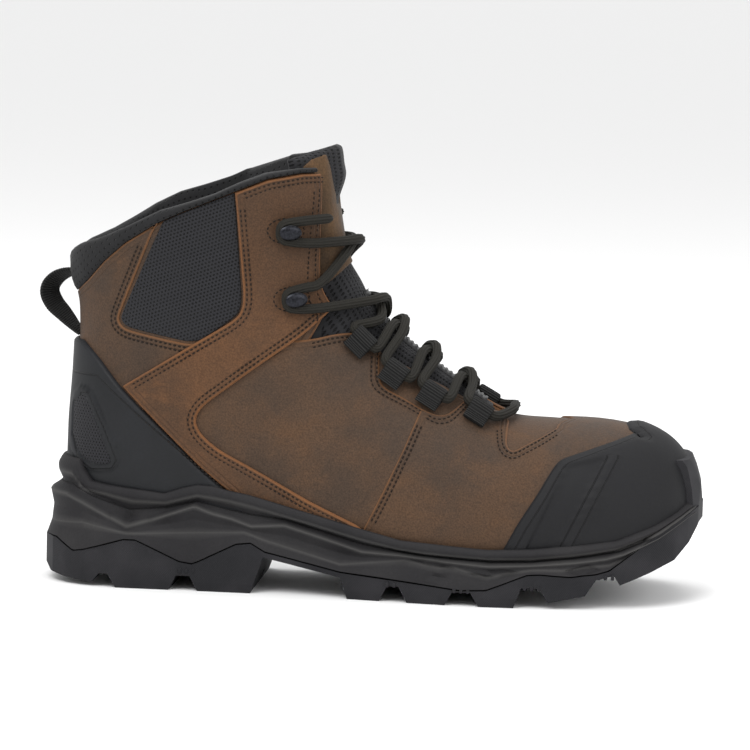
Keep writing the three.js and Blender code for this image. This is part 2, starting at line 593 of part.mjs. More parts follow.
// Sideways places of the sole's two edges at a station.
function soleEdges(share) {
  const { heel, ball, rows } = solePlan;
  const row = ((share - heel) / (ball - heel)) * (rows.length - 1);
  const lateral = smoothRow(rows, row, "lateral") * soleWidth;
  const medial = smoothRow(rows, row, "medial") * soleWidth;
  let round = 1;
  let shift = 0;
  if (share < heel) round = 1 - ((heel - share) / heel) ** solePlan.heelPower;
  if (share < heel) round = round ** (1 / solePlan.heelPower);
  if (share > ball) {
    const t = Math.min((share - ball) / (soleFront - ball), 1);
    round = (1 - t ** solePlan.toePower) ** (1 / solePlan.toePower);
    shift = solePlan.toeShift * soleWidth * t;
  }
  return { lateral: shift - lateral * round, medial: shift + medial * round };
}

// The outline as points from the heel along the lateral side to the toe and back, each with
// the direction that points inwards.
function soleOutline() {
  const stations = soleStations.map((share) => Math.min(share, soleFront));
  const point = (share, side) =>
    new THREE.Vector3(share * bootLength, soleEdges(share)[side], 0);
  const inner = stations.slice(1, -1);
  const ring = [
    point(0, "lateral").setY(0),
    ...inner.map((share) => point(share, "lateral")),
    point(soleFront, "lateral"),
    ...inner.reverse().map((share) => point(share, "medial")),
  ];
  return ring.map((p, i) => {
    const along = ring[(i + 1) % ring.length].clone().sub(ring[(i - 1 + ring.length) % ring.length]);
    return { point: p, inward: new THREE.Vector3(-along.y, along.x, 0).normalize() };
  });
}

// How far inwards from an outline point the last begins, at height z.
const soleSearch = 30;
function depthToLast(point, inward, z) {
  const inside = (distance) => {
    const p = point.clone().addScaledVector(inward, distance);
    const spot = fromSide(p.x, z, "lateral");
    const s = lastSection(spot.turn);
    const lateral = lastSurface(spot.turn, spot.angle).y;
    const medial = lastSurface(spot.turn, 2 * Math.PI - spot.angle).y;
    const within = spot.h > 0 && spot.h < 1;
    return within && p.y > lateral && p.y < medial && s.lateral > 0;
  };
  let [low, high] = [-10, soleSearch];
  if (!inside(high)) return 0;
  for (let i = 0; i < 24; i++) {
    const middle = (low + high) / 2;
    if (inside(middle)) high = middle;
    else low = middle;
  }
  return high;
}

// One level of the midsole's side. proud is measured out from the last where fill is 0 and
// out from the sole's outline where fill is 1.
function soleLevel(outline, line, fill, proud, drop = 0) {
  return outline.map(({ point, inward }) => {
    const z = alongX(line, point.x) * bootHeight - drop;
    const depth = fill < 1 ? depthToLast(point, inward, z) : 0;
    return point.clone().addScaledVector(inward, depth * (1 - fill) - proud).setZ(z);
  });
}

const rimWall = 4.2; // the midsole's rim, measured out from the upper
const tuck = 6; // overlays reach this far down behind the rim
const guardWall = 3.9;
const guardHalf = 0.23; // half width of the toe guard, as a share of ballWidth

// Room behind the rim for an overlay of the upper.
function pocket(outline, wall) {
  return lastSolid(wall + 2 * seat)
    .intersect(grown(blockOn("both", outline)))
    .intersect(aboveLine(lipLine, -tuck - seat));
}
function overlayPockets() {
  return pocket(toeCapOutline, toeCapWall)
    .add(pocket(counterOutline, counterWall))
    .add(pocket(strapOutline, overlayLeather));
}

// Midsole: a cup with a bead along its rim, creased facets on its side and the foot's bed.
function makeMidsole() {
  const outline = soleOutline();
  const half = (line, other, share) =>
    line.map(({ x, z }) => xz(x, z + (alongX(other, x * bootLength) - z) * share));
  const body = solidOf(
    levelLoft([
      soleLevel(outline, outsoleTop, 1, 0, 4),
      soleLevel(outline, facetLine, 1, -2),
      soleLevel(outline, ridgeLine, 0.75, 1.2),
      soleLevel(outline, grooveLine, 0.5, 0),
      soleLevel(outline, beadLine, 0.3, rimWall - 1),
      soleLevel(outline, half(lipLine, beadLine, 0.45), 0.2, rimWall),
      soleLevel(outline, lipLine, 0, rimWall - 0.6),
    ]),
  );
  const guard = sideBlock(
    [xz(0.93, 0), xz(1.1, 0), xz(1.1, 0.4), xz(0.93, 0.4)],
    -guardHalf * ballWidth - seat + toeTip.y,
    guardHalf * ballWidth + seat + toeTip.y,
  );
  return mainBody(
    body
      .intersect(aboveLine(outsoleTop, 0))
      .subtract(lastSolid(seat))
      .subtract(overlayPockets())
      .subtract(guard),
  );
}

// Outsole: lugged tread with heel, arch, toe spring and the guard that rises over the toe.
function makeOutsole() {
  const outline = soleOutline();
  const flat = (z) => [xz(-1, z), xz(2, z)];
  const proud = 0.4;
  const plan = solidOf(
    levelLoft([
      soleLevel(outline, flat(-0.02), 1, proud - 1.2),
      soleLevel(outline, flat(0.02), 1, proud),
      soleLevel(outline, flat(0.36), 1, proud),
    ]),
  );
  const top = outsoleTop.slice(1).reverse().map(({ x, z }) => xz(x, z - seat / bootHeight));
  const tread = sideBlock([...treadProfile, ...top], -reach, reach);
  const guardEdge = guardHalf * ballWidth;
  const guard = sideBlock(guardProfile, toeTip.y - guardEdge, toeTip.y + guardEdge).intersect(
    lastSolid(toeCapWall + 2 * seat + guardWall),
  );
  const channel = sideBlock(
    [xz(0.11, -0.1), xz(0.86, -0.1), xz(0.86, 0.026), xz(0.11, 0.026)],
    -treadChannel / 2,
    treadChannel / 2,
  );
  return mainBody(
    tread
      .add(guard)
      .intersect(plan)
      .subtract(lastSolid(seat))
      .subtract(pocket(toeCapOutline, toeCapWall))
      .subtract(channel),
  );
}

// An overlay that follows the upper's side, cut by its outline and tucked behind the rim.
function overlay(side, outline, wall) {
  return shell(seat, seat + wall)
    .intersect(blockOn(side, outline))
    .intersect(aboveLine(lipLine, -tuck));
}
const makeToeCap = () => mainBody(overlay("both", toeCapOutline, toeCapWall));
function makeCounter() {
  const window = blockOn("both", windowOutline);
  return mainBody(overlay("both", counterOutline, counterWall).subtract(window));
}
const makeCounterMesh = (side) =>
  mainBody(
    shell(seat, seat + counterMeshWall).intersect(
      blockOn(side, windowOutline).subtract(counterEdge(side)),
    ),
  );

// A clearance band just inside the window of the counter.
function counterEdge(side) {
  const block = blockOn(side, windowOutline);
  const inner = [[1, 0], [-1, 0], [0, 1], [0, -1]].reduce(
    (all, [dx, dz]) => all.intersect(block.translate([dx * seat, 0, dz * seat])),
    block,
  );
  return block.subtract(inner);
}
function makeAnkleMesh(side) {
  const block = blockOn(side, ankleMeshOutline);
  const inner = [[1, 0], [-1, 0], [0, 1], [0, -1]].reduce(
    (all, [dx, dz]) => all.intersect(block.translate([dx * seat, 0, dz * seat])),
    block,
  );
  return mainBody(shell(seat - ankleMeshWall, -seat).intersect(inner));
}
function makeStrap(side) {
  return mainBody(
    overlay(side, strapOutline, overlayLeather)
      .subtract(grown(blockOn("both", counterOutline)))
      .subtract(throatCutter(0))
      .subtract(aboveLeather(-0.6)),
  );
}

// A frame on the upper: x runs away from the throat, y towards the collar, z outwards.
function crestFrame(turn, y) {
  const s = lastSection(turn);
  const angle = angleAtY(turn, s.centre + y);
  const origin = lastSurface(turn, angle);
  const out = lastNormal(turn, angle);
  const ahead = lastSurface(turn + 0.05, angleAtY(turn + 0.05, s.centre + y));
  const along = ahead.sub(lastSurface(turn - 0.05, angleAtY(turn - 0.05, s.centre + y)));
  along.addScaledVector(out, -along.dot(out)).normalize();
  const away = along.clone().cross(out).multiplyScalar(Math.sign(y));
  return { origin, out, along, away, turn, angle, side: Math.sign(y) };
}
function inFrame(frame, away, along, out) {
  return frame.origin
    .clone()
    .addScaledVector(frame.away, away)
    .addScaledVector(frame.along, along)
    .addScaledVector(frame.out, out);
}

// A shape drawn across a frame (away, out) and given a length along it.
function acrossFrame(frame, shape, length) {
  const geometry = new THREE.ExtrudeGeometry(shape, {
    depth: length, bevelEnabled: false, curveSegments: 4,
  });
  const position = geometry.attributes.position;
  for (let i = 0; i < position.count; i++) {
    const [a, o, l] = [position.getX(i), position.getY(i), position.getZ(i)];
    const p = inFrame(frame, a, l - length / 2, o);
    position.setXYZ(i, p.x, p.y, p.z);
  }
  return geometry;
}

// Webbing lace loops, toe end first; the collar's hooks follow.
const loopTurns = [1.5, 2.59, 3.6, 4.66];
const loopOffset = 2.2; // the loop's eye stands this far out from the throat's edge
const laceRadius = laceDiameter / 2;
const eyeRadius = laceRadius + 1.2;
const loopLift = 1; // clears the bend of the instep under the loop
const eyeLift = loopLift + webbingWall + eyeRadius;
function loopFrame(turn, side) {
  return crestFrame(turn, sides[side] * (throatHalf(turn) + loopOffset));
}

// The angle of the surface point that lies a way down the side from a frame.
function angleDownFrom(frame, way) {
  const step = 0.01 * -frame.side;
  let angle = frame.angle;
  let spot = frame.origin;
  for (let gone = 0; gone < way; ) {
    const next = lastSurface(frame.turn, angle + step);
    gone += next.distanceTo(spot);
    spot = next;
    angle += step;
  }
  return angle;
}

function makeLaceLoop(turn, side) {
  const frame = loopFrame(turn, side);
  const outer = eyeRadius + webbingWall;
  const shape = new THREE.Shape();
  const tail = [1, 0.66, 0.33].map((share) => {
    const angle = angleDownFrom(frame, webbingTail * share);
    const spot = lastSurface(turn, angle).sub(frame.origin);
    return new THREE.Vector2(spot.dot(frame.away), spot.dot(frame.out) + loopLift);
  });
  shape.moveTo(tail[0].x, tail[0].y);
  shape.lineTo(tail[1].x, tail[1].y);
  shape.lineTo(tail[2].x, tail[2].y);
  shape.lineTo(0, loopLift);
  shape.absarc(0, eyeLift, outer, -Math.PI / 2, Math.PI * 0.25, true);
  shape.lineTo(tail[2].x + 1.2, tail[2].y + 2 * webbingWall);
  shape.lineTo(tail[1].x + 0.3, tail[1].y + 2 * webbingWall);
  shape.lineTo(tail[0].x, tail[0].y + 1.2 * webbingWall);
  const eye = new THREE.Path();
  eye.absarc(0, eyeLift, eyeRadius, 0, 2 * Math.PI, false);
  shape.holes.push(eye);
  return solidOf(acrossFrame(frame, shape, webbingWidth));
}

// Speed hooks on the ankle strap: a riveted foot, a neck and an oval cap.
const hookTurns = [7.78, 10.2];
const hookOffset = 6.4;
const hook = { foot: 4.2, neck: 1.5, cap: 3.2, stretch: 1.5, footWall: 0.9, room: 5.6, capWall: 1.6 };
function hookFrame(turn, side) {
  return crestFrame(turn, sides[side] * (throatHalf(turn) + hookOffset));
}
function makeHook(turn, side) {
  const frame = hookFrame(turn, side);
  const base = seat * 2 + overlayLeather;
  const rise = base + hook.footWall;
  const profile = [
    [hook.foot, base, 1], [hook.foot * 0.7, rise, 1], [hook.neck, rise + 0.4, 1],
    [hook.neck, rise + hook.room - 0.4, 1], [hook.cap, rise + hook.room, hook.stretch],
    [hook.cap * 0.6, rise + hook.room + hook.capWall, hook.stretch],
  ];
  const around = 8;
  const rings = profile.map(([radius, out, stretch]) =>
    Array.from({ length: around }, (_, i) => {
      const a = (2 * Math.PI * i) / around;
      return inFrame(frame, radius * stretch * Math.cos(a), radius * Math.sin(a), out);
    }),
  );
  return solidOf(loft(rings, middleOf(rings[0]), middleOf(rings[rings.length - 1])));
}

// A round cord through points.
function cord(points, radius, perPoint = 2, around = 5) {
  const curve = new THREE.CatmullRomCurve3(points, false, "centripetal");
  const steps = (points.length - 1) * perPoint;
  const frames = curve.computeFrenetFrames(steps, false);
  const rings = [];
  for (let i = 0; i <= steps; i++) {
    const centre = curve.getPointAt(i / steps);
    rings.push(
      Array.from({ length: around }, (_, k) => {
        const a = (2 * Math.PI * k) / around;
        return centre
          .clone()
          .addScaledVector(frames.normals[i], radius * Math.cos(a))
          .addScaledVector(frames.binormals[i], radius * Math.sin(a));
      }),
    );
  }
  return solidOf(loft(rings, middleOf(rings[0]), middleOf(rings[steps])));
}

// The lace's way through one loop, from its toe end to its collar end.
function throughLoop(turn, side) {
  const frame = loopFrame(turn, side);
  const run = webbingWidth / 2;
  return [
    inFrame(frame, -0.2, -run - 1.4, eyeLift),
    inFrame(frame, 0.1, -run * 0.75, eyeLift),
    inFrame(frame, 0.1, run * 0.75, eyeLift),
    inFrame(frame, -0.2, run + 1.4, eyeLift),
  ];
}

// Round the neck of a hook, in from the throat on the toe side and back on the collar side.
function roundHook(turn, side) {
  const frame = hookFrame(turn, side);
  const turnRadius = hook.neck + laceRadius + 0.9;
  const out = 2 * seat + overlayLeather + hook.footWall + hook.room / 2 + 0.1;
  return [
    inFrame(frame, -7.5, -turnRadius - 0.4, out),
    inFrame(frame, -1, -turnRadius, out),
    inFrame(frame, turnRadius * 0.8, -turnRadius * 0.6, out),
    inFrame(frame, turnRadius * 0.8, turnRadius * 0.6, out),
    inFrame(frame, -1, turnRadius, out),
    inFrame(frame, -7.5, turnRadius + 0.4, out),
  ];
}

// One strand, from the bar at the throat's foot up to the top hook. The two strands swap
// which one lies on top at each crossing.
const crossingLift = { over: 8.6, under: 5 };
const shaftCrossing = { away: 14, lift: 5.2, run: 0.45 };
function strand(firstSide, order) {
  const other = { lateral: "medial", medial: "lateral" };
  const points = [];
  let side = firstSide;
  const cross = (turn, on) => {
    const lift = on ? crossingLift.over : crossingLift.under;
    points.push(overCrest(turn, lastSection(turn).centre, lift));
    side = other[side];
  };
  const crossShaft = (turn, on) => {
    const centre = lastSection(turn).centre;
    const away = shaftCrossing.away;
    points.push(overCrest(turn - shaftCrossing.run, centre + sides[side] * away, shaftCrossing.lift));
    cross(turn, on);
    points.push(overCrest(turn + shaftCrossing.run, centre + sides[side] * away, shaftCrossing.lift));
  };
  loopTurns.forEach((turn, i) => {
    points.push(...throughLoop(turn, side));
    const next = loopTurns[i + 1];
    if (next) cross((turn + next) / 2, (i + order) % 2 === 0);
  });
  crossShaft(6.1, order === 0);
  points.push(...roundHook(hookTurns[0], side));
  crossShaft(9, order === 1);
  points.push(...roundHook(hookTurns[1], side));
  return points;
}
function makeLace() {
  const left = strand("lateral", 0);
  const right = strand("medial", 1);
  const foot = lastSection(1.05);
  const bar = [-8, 0, 8].map((y) => overCrest(0.97, foot.centre + y, laceRadius + 1.6));
  return mainBody(cord([...left.slice().reverse(), ...bar, ...right], laceRadius));
}

// Pull loop at the back, from the cuff down to just above the counter.
function makePullLoop() {
  const overCuff = lastSolid(cuffOut + seat).intersect(aboveLeather(-seat));
  const band = sideBlock(pullLoopOutline, -pullLoopWidth / 2, pullLoopWidth / 2);
  return mainBody(band.subtract(lastSolid(seat)).subtract(overCuff));
}

// Colours and finishes.
const finish = (color, roughness, metalness = 0) =>
  new THREE.MeshStandardMaterial({ color, roughness, metalness });
const finishes = {
  leather: finish(0x5a4028, 0.85),
  strapLeather: finish(0x664629, 0.85),
  rubber: finish(0x232325, 0.75),
  midsoleFoam: finish(0x2d2d2f, 0.8),
  capRubber: finish(0x272729, 0.7),
  counterPlastic: finish(0x2b2b2e, 0.6),
  mesh: finish(0x1a1a1c, 0.95),
  lining: finish(0x161617, 0.95),
  footbed: finish(0x202022, 0.9),
  webbing: finish(0x1c1c1b, 0.9),
  laceCord: finish(0x25231f, 0.9),
  gunmetal: finish(0x2a2c30, 0.35, 0.9),
};

const pieces = [
  ["upper", makeUpper(), finishes.leather],
  ["midsole", makeMidsole(), finishes.midsoleFoam],
  ["outsole", makeOutsole(), finishes.rubber],
  ["insole", makeInsole(), finishes.footbed],
  ["tongue", makeTongue(), finishes.lining],
  ["tongue_strip", makeTongueStrip(), finishes.webbing],
  ["cuff", makeCuff(), finishes.lining],
  ["toe_cap", makeToeCap(), finishes.capRubber],
  ["heel_counter", makeCounter(), finishes.counterPlastic],
  ["pull_loop", makePullLoop(), finishes.webbing],
  ["lace", makeLace(), finishes.laceCord],
];
for (const side of Object.keys(sides)) {
  pieces.push(["ankle_strap_" + side, makeStrap(side), finishes.strapLeather]);
  pieces.push(["ankle_mesh_" + side, makeAnkleMesh(side), finishes.mesh]);
  pieces.push(["counter_mesh_" + side, makeCounterMesh(side), finishes.mesh]);
  loopTurns.forEach((turn, i) =>
    pieces.push([`lace_loop_${side}_${i + 1}`, makeLaceLoop(turn, side), finishes.webbing]),
  );
  hookTurns.forEach((turn, i) =>
    pieces.push([`hook_${side}_${i + 1}`, makeHook(turn, side), finishes.gunmetal]),
  );
}

const group = new THREE.Group();
group.name = "safety_boot";
for (const [name, solid, material] of pieces) {
  const mesh = new THREE.Mesh(geometryOf(solid), material);
  mesh.name = name;
  group.add(mesh);
}

// The shared frame starts in the middle of the boot's box, on the ground.
const box = new THREE.Box3().setFromObject(group);
const middle = box.getCenter(new THREE.Vector3());
for (const mesh of group.children) mesh.geometry.translate(-middle.x, -middle.y, -box.min.z);

export default group;
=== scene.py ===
import math
import bmesh
import bpy
import numpy as np
from mathutils import Matrix, Vector, kdtree, noise


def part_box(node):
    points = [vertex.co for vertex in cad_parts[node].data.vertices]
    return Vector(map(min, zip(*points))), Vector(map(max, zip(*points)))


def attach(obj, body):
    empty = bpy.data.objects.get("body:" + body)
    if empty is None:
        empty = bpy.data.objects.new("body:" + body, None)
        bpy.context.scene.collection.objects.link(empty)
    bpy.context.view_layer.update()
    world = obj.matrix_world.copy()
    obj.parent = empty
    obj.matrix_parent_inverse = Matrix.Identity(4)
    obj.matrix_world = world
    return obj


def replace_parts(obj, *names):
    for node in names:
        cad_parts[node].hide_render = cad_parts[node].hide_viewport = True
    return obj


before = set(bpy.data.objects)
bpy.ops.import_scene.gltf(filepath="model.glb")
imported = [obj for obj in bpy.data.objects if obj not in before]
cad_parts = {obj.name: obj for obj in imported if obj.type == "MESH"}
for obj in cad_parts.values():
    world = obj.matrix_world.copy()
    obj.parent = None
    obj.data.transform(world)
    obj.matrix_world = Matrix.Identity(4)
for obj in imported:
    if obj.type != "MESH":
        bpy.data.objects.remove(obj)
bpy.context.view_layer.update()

# A right safety boot. Shapes are worked out in the boot's own millimetres (heel at x = 0,
# toe at +x, inner side at +y) and put in the row frame in metres at the end.
boot = {"length": 314.0, "height": 208.0, "ball": 103.0, "sole": 113.0}
heelShift = boot["length"] + 0.086 - 1000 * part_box("outsole")[1].x
sideShift = 56.731 - 1000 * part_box("outsole")[1].y
print("frame shift", round(heelShift, 2), round(sideShift, 2))

# The last: crest x z, base x z, outer and inner half width, widest share, roundness, centre
lastRows = np.array([
    (.780, .401, .780, .082, .490, .480, .30, 4.0, 2.3, 3.0),
    (.704, .411, .685, .070, .505, .470, .29, 4.0, 2.3, 2.0),
    (.647, .461, .593, .076, .495, .440, .27, 4.0, 2.2, 1.0),
    (.589, .521, .487, .099, .450, .400, .26, 4.0, 2.15, .5),
    (.537, .583, .377, .128, .405, .375, .28, 3.8, 2.1, 0),
    (.498, .643, .268, .148, .375, .360, .32, 3.4, 2.1, 0),
    (.474, .706, .156, .154, .360, .358, .38, 3.0, 2.15, 0),
    (.458, .745, .077, .170, .355, .355, .43, 2.7, 2.2, 0),
    (.450, .777, .042, .223, .352, .352, .46, 2.5, 2.3, 0),
    (.443, .823, .038, .345, .350, .350, .47, 2.35, 2.5, 0),
    (.437, .877, .043, .491, .352, .352, .48, 2.1, 2.7, 0),
    (.432, .929, .044, .617, .360, .360, .48, 2.0, 2.9, 0),
    (.425, .975, .033, .725, .372, .372, .48, 2.1, 3.0, 0),
    (.417, 1.010, .032, .810, .378, .378, .48, 2.1, 3.0, 0),
])
lastScale = np.array([boot["length"], boot["height"], boot["length"], boot["height"],
                      boot["ball"], boot["ball"], 1, 1, 1, 1])
lastTop = len(lastRows) - 1
bothSides = (("lateral", 1), ("medial", -1))
fullTurn = 2 * math.pi
toeTip = {"x": .979 * boot["length"], "y": 6.0, "z": .216 * boot["height"], "side": 2.8, "plan": 2.4}


def betweenRows(rows, at):
    # a smooth curve through the rows of a table
    top = len(rows) - 1
    at = np.clip(at, 0, top)
    i = np.minimum(at.astype(int), top - 1)
    f = (at - i)[..., None]
    p1, p2 = rows[i], rows[i + 1]
    p0 = np.where((i > 0)[..., None], rows[np.maximum(i - 1, 0)], 2 * p1 - p2)
    p3 = np.where((i < top - 1)[..., None], rows[np.minimum(i + 2, top)], 2 * p2 - p1)
    curve = (2 * p0 - 5 * p1 + 4 * p2 - p3) * f * f + (3 * p1 - p0 - 3 * p2 + p3) * f ** 3
    return .5 * (2 * p1 + (p2 - p0) * f + curve)


def sectionAt(turn):
    turn = np.asarray(turn, float)
    s = betweenRows(lastRows, turn) * lastScale
    t = np.sin(np.clip(-turn, 0, 1) * math.pi / 2)
    side = (1 - t ** toeTip["side"]) ** (1 / toeTip["side"])
    plan = (1 - t ** toeTip["plan"]) ** (1 / toeTip["plan"])
    toe = turn < 0
    s[..., 0] = np.where(toe, s[..., 0] + (toeTip["x"] - s[..., 0]) * t, s[..., 0])
    s[..., 2] = np.where(toe, s[..., 0], s[..., 2])
    for k in (1, 3):
        s[..., k] = np.where(toe, toeTip["z"] + (s[..., k] - toeTip["z"]) * side, s[..., k])
    for k in (4, 5):
        s[..., k] = np.where(toe, s[..., k] * plan, s[..., k])
    s[..., 9] = np.where(toe, s[..., 9] + (toeTip["y"] - s[..., 9]) * t, s[..., 9])
    return s


def lastPoint(turn, angle):
    # angle 0 is the crest, a quarter turn the outer side, minus a quarter turn the inner side
    turn, angle = np.broadcast_arrays(np.asarray(turn, float), np.asarray(angle, float))
    s = sectionAt(turn)
    c, d = np.cos(angle), np.sin(angle)
    power = 2 / np.where(c > 0, s[..., 8], s[..., 7])
    across, up = np.abs(d) ** power, np.abs(c) ** power
    y = np.where(d > 0, -s[..., 4], s[..., 5]) * across + s[..., 9]
    h = np.where(c > 0, s[..., 6] + (1 - s[..., 6]) * up, s[..., 6] - s[..., 6] * up)
    return np.stack([s[..., 2] + (s[..., 0] - s[..., 2]) * h, y,
                     s[..., 3] + (s[..., 1] - s[..., 3]) * h], -1)


def lastNormal(turn, angle):
    turn, angle = np.broadcast_arrays(np.asarray(turn, float), np.asarray(angle, float))
    ahead = lastPoint(np.maximum(turn - .02, -.995), angle)
    behind = lastPoint(np.minimum(turn + .02, lastTop + .3), angle)
    around = lastPoint(turn, angle + .03) - lastPoint(turn, angle - .03)
    n = np.cross(behind - ahead, around)
    return n / np.maximum(np.linalg.norm(n, axis=-1, keepdims=True), 1e-9)


def onLast(turn, angle, lift):
    lift = np.asarray(lift, float)
    return lastPoint(turn, angle) + lastNormal(turn, angle) * lift[..., None]


def angleAtY(turn, y):
    s = sectionAt(turn)
    half = np.where(y < s[..., 9], s[..., 4], s[..., 5])
    across = np.minimum(np.abs(y - s[..., 9]) / half, 1) ** (s[..., 8] / 2)
    return np.where(y < s[..., 9], 1, -1) * np.arcsin(across)


def turnFromSide(x, z):
    # the turn of the section that the side view shows at x and z
    x, z = np.asarray(x, float), np.asarray(z, float)
    front = lastRows[0, 0] * boot["length"]
    low, high = np.zeros_like(x), np.full_like(x, float(lastTop))
    for _ in range(30):
        middle = (low + high) / 2
        s = sectionAt(middle)
        behind = (s[..., 0] - s[..., 2]) * (z - s[..., 3]) - (s[..., 1] - s[..., 3]) * (x - s[..., 2])
        low, high = np.where(behind > 0, middle, low), np.where(behind > 0, high, middle)
    toe = -2 * np.arcsin(np.clip((x - front) / (toeTip["x"] - front), 0, 1)) / math.pi
    return np.where(x > front, toe, (low + high) / 2)


def fromSide(x, z, side):
    # turn and angle of the point that the side view shows at x and z; side is 1 outer, -1 inner
    turn = turnFromSide(x, z)
    s = sectionAt(turn)
    dx, dz = s[..., 0] - s[..., 2], s[..., 1] - s[..., 3]
    h = ((x - s[..., 2]) * dx + (z - s[..., 3]) * dz) / np.maximum(dx * dx + dz * dz, .01)
    up = h > s[..., 6]
    share = np.where(up, (h - s[..., 6]) / (1 - s[..., 6]), (s[..., 6] - h) / s[..., 6])
    lean = np.arccos(np.clip(share, 0, 1) ** (np.where(up, s[..., 8], s[..., 7]) / 2))
    return turn, np.where(up, lean, math.pi - lean) * side


def oneTurn(x, z):
    return float(turnFromSide(np.array(float(x)), np.array(float(z))))


def oneAngle(x, z, side):
    return float(fromSide(np.array([x]), np.array([z]), side)[1][0])


def sideLine(line, side):
    # turns and angles of the rows of a line of the side view
    return np.stack(fromSide(line[:, 0], line[:, 1], side), 1)


def alongLine(line, x):
    table = np.array(line, float)
    return np.interp(np.asarray(x, float) / boot["length"], table[:, 0], table[:, 1]) * boot["height"]


throatRows = np.array([(1.05, .06), (1.35, .112), (2, .155), (3, .185), (4.2, .204), (4.8, .233),
                       (5.2, .3), (5.7, .262), (6.2, .218), (8, .214), (10.5, .214), (13, .214)])


def throatHalf(turn):
    return np.interp(turn, throatRows[:, 0], throatRows[:, 1]) * boot["ball"]


leatherTop = [(-.1, .635), (.02, .644), (.041, .661), (.065, .693), (.093, .739), (.127, .784),
              (.178, .832), (.218, .86), (.293, .907), (.341, .937), (.389, .951), (.6, .956)]
cuffTop = [(-.1, .735), (.03, .757), (.05, .776), (.08, .79), (.127, .822), (.179, .861),
           (.218, .879), (.26, .901), (.301, .93), (.341, .953), (.389, .965), (.6, .969)]
lipLine = [(0, .286), (.05, .286), (.055, .265), (.071, .238), (.102, .232), (.146, .226),
           (.194, .219), (.223, .235), (.245, .243), (.271, .242), (.29, .234), (.325, .225),
           (.411, .193), (.5, .16), (.554, .141), (.589, .138), (.685, .128), (.752, .132),
           (.815, .142), (.879, .154), (.939, .184), (.975, .21), (1, .24)]
collarRise = {"most": 5.0, "from": .04, "run": .1}


def collarLift(x, side):
    if side > 0:
        return np.zeros_like(np.asarray(x, float))
    share = (np.asarray(x, float) / boot["length"] - collarRise["from"]) / collarRise["run"]
    return collarRise["most"] * np.clip(share, 0, 1)


def turnAtLine(line, angle, lift=0.0, low=3.0, high=13.3):
    # where a strip of the last at this angle reaches a line of the side view, from below
    angle = np.asarray(angle, float)
    low, high = np.full_like(angle, low), np.full_like(angle, high)
    for _ in range(28):
        middle = (low + high) / 2
        p = lastPoint(middle, angle)
        rise = np.where(np.sin(angle) < 0, collarLift(p[..., 0], -1), 0)
        under = p[..., 2] < alongLine(line, p[..., 0]) + lift + rise
        low, high = np.where(under, middle, low), np.where(under, high, middle)
    return (low + high) / 2


def angleAtLine(line, turn, drop, side):
    # how far down the side a section goes to a line of the side view
    turn = np.asarray(turn, float)
    low, high = np.full_like(turn, .3), np.full_like(turn, math.pi - .02)
    for _ in range(28):
        middle = (low + high) / 2
        p = lastPoint(turn, middle * side)
        above = p[..., 2] > alongLine(line, p[..., 0]) - drop
        low, high = np.where(above, middle, low), np.where(above, high, middle)
    return (low + high) / 2


def toFrame(points):
    points = np.asarray(points, float)
    return (points - np.array([heelShift, sideShift, 0])) / 1000


def travelled(points):
    # how far along a path each of its points lies
    return np.concatenate([[0], np.cumsum(np.linalg.norm(np.diff(points, axis=0), axis=1))])


def directions(path):
    way = np.gradient(path, axis=0)
    return way / np.linalg.norm(way, axis=1, keepdims=True)


def closedSheet(outer, inner):
    # rows that go out over one face of a sheet and back over the other
    return np.concatenate([outer, inner[:, ::-1], outer[:, :1]], 1)


def acrossTurns(turns, columns):
    return np.repeat(turns[:, None], columns, 1)


def resample(points, step):
    points = np.asarray(points, float)
    gone = travelled(points)
    count = max(int(round(gone[-1] / step)), 1)
    at = np.linspace(0, gone[-1], count + 1)
    return np.stack([np.interp(at, gone, points[:, k]) for k in range(points.shape[1])], 1)


def rounded(points, radius, step=1.4):
    # a broken line with its corners turned into short curves
    points = np.asarray(points, float)
    out = [points[0]]
    for before, corner, after in zip(points[:-2], points[1:-1], points[2:]):
        inLength, outLength = np.linalg.norm(corner - before), np.linalg.norm(after - corner)
        near, far = min(radius, .48 * inLength), min(radius, .48 * outLength)
        start = corner + (before - corner) * near / inLength
        end = corner + (after - corner) * far / outLength
        for t in np.linspace(0, 1, 6):
            out.append((1 - t) ** 2 * start + 2 * t * (1 - t) * corner + t * t * end)
    out.append(points[-1])
    return resample(out, step)


def onSide(points, side, radius=4.0, step=1.4):
    # a line of the side view, in millimetres, as turns and angles of the last
    return sideLine(rounded(points, radius, step), side)


def finished(bm, name, material, smooth=40):
    # a bmesh in the boot's millimetres becomes a piece in the row frame
    mesh = bpy.data.meshes.new(name)
    bm.to_mesh(mesh)
    bm.free()
    co = np.zeros(len(mesh.vertices) * 3)
    mesh.vertices.foreach_get("co", co)
    mesh.vertices.foreach_set("co", toFrame(co.reshape(-1, 3)).ravel())
    mesh.materials.append(material)
    mesh.update()
    piece = bpy.data.objects.new(name, mesh)
    bpy.context.scene.collection.objects.link(piece)
    mesh.polygons.foreach_set("use_smooth", [True] * len(mesh.polygons))
    if smooth:
        mesh.set_sharp_from_angle(angle=math.radians(smooth))
    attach(piece, "root")
    return piece


def addAttribute(piece, name, values):
    layer = piece.data.attributes.new(name, "FLOAT", "POINT")
    layer.data.foreach_set("value", np.asarray(values, np.float32))


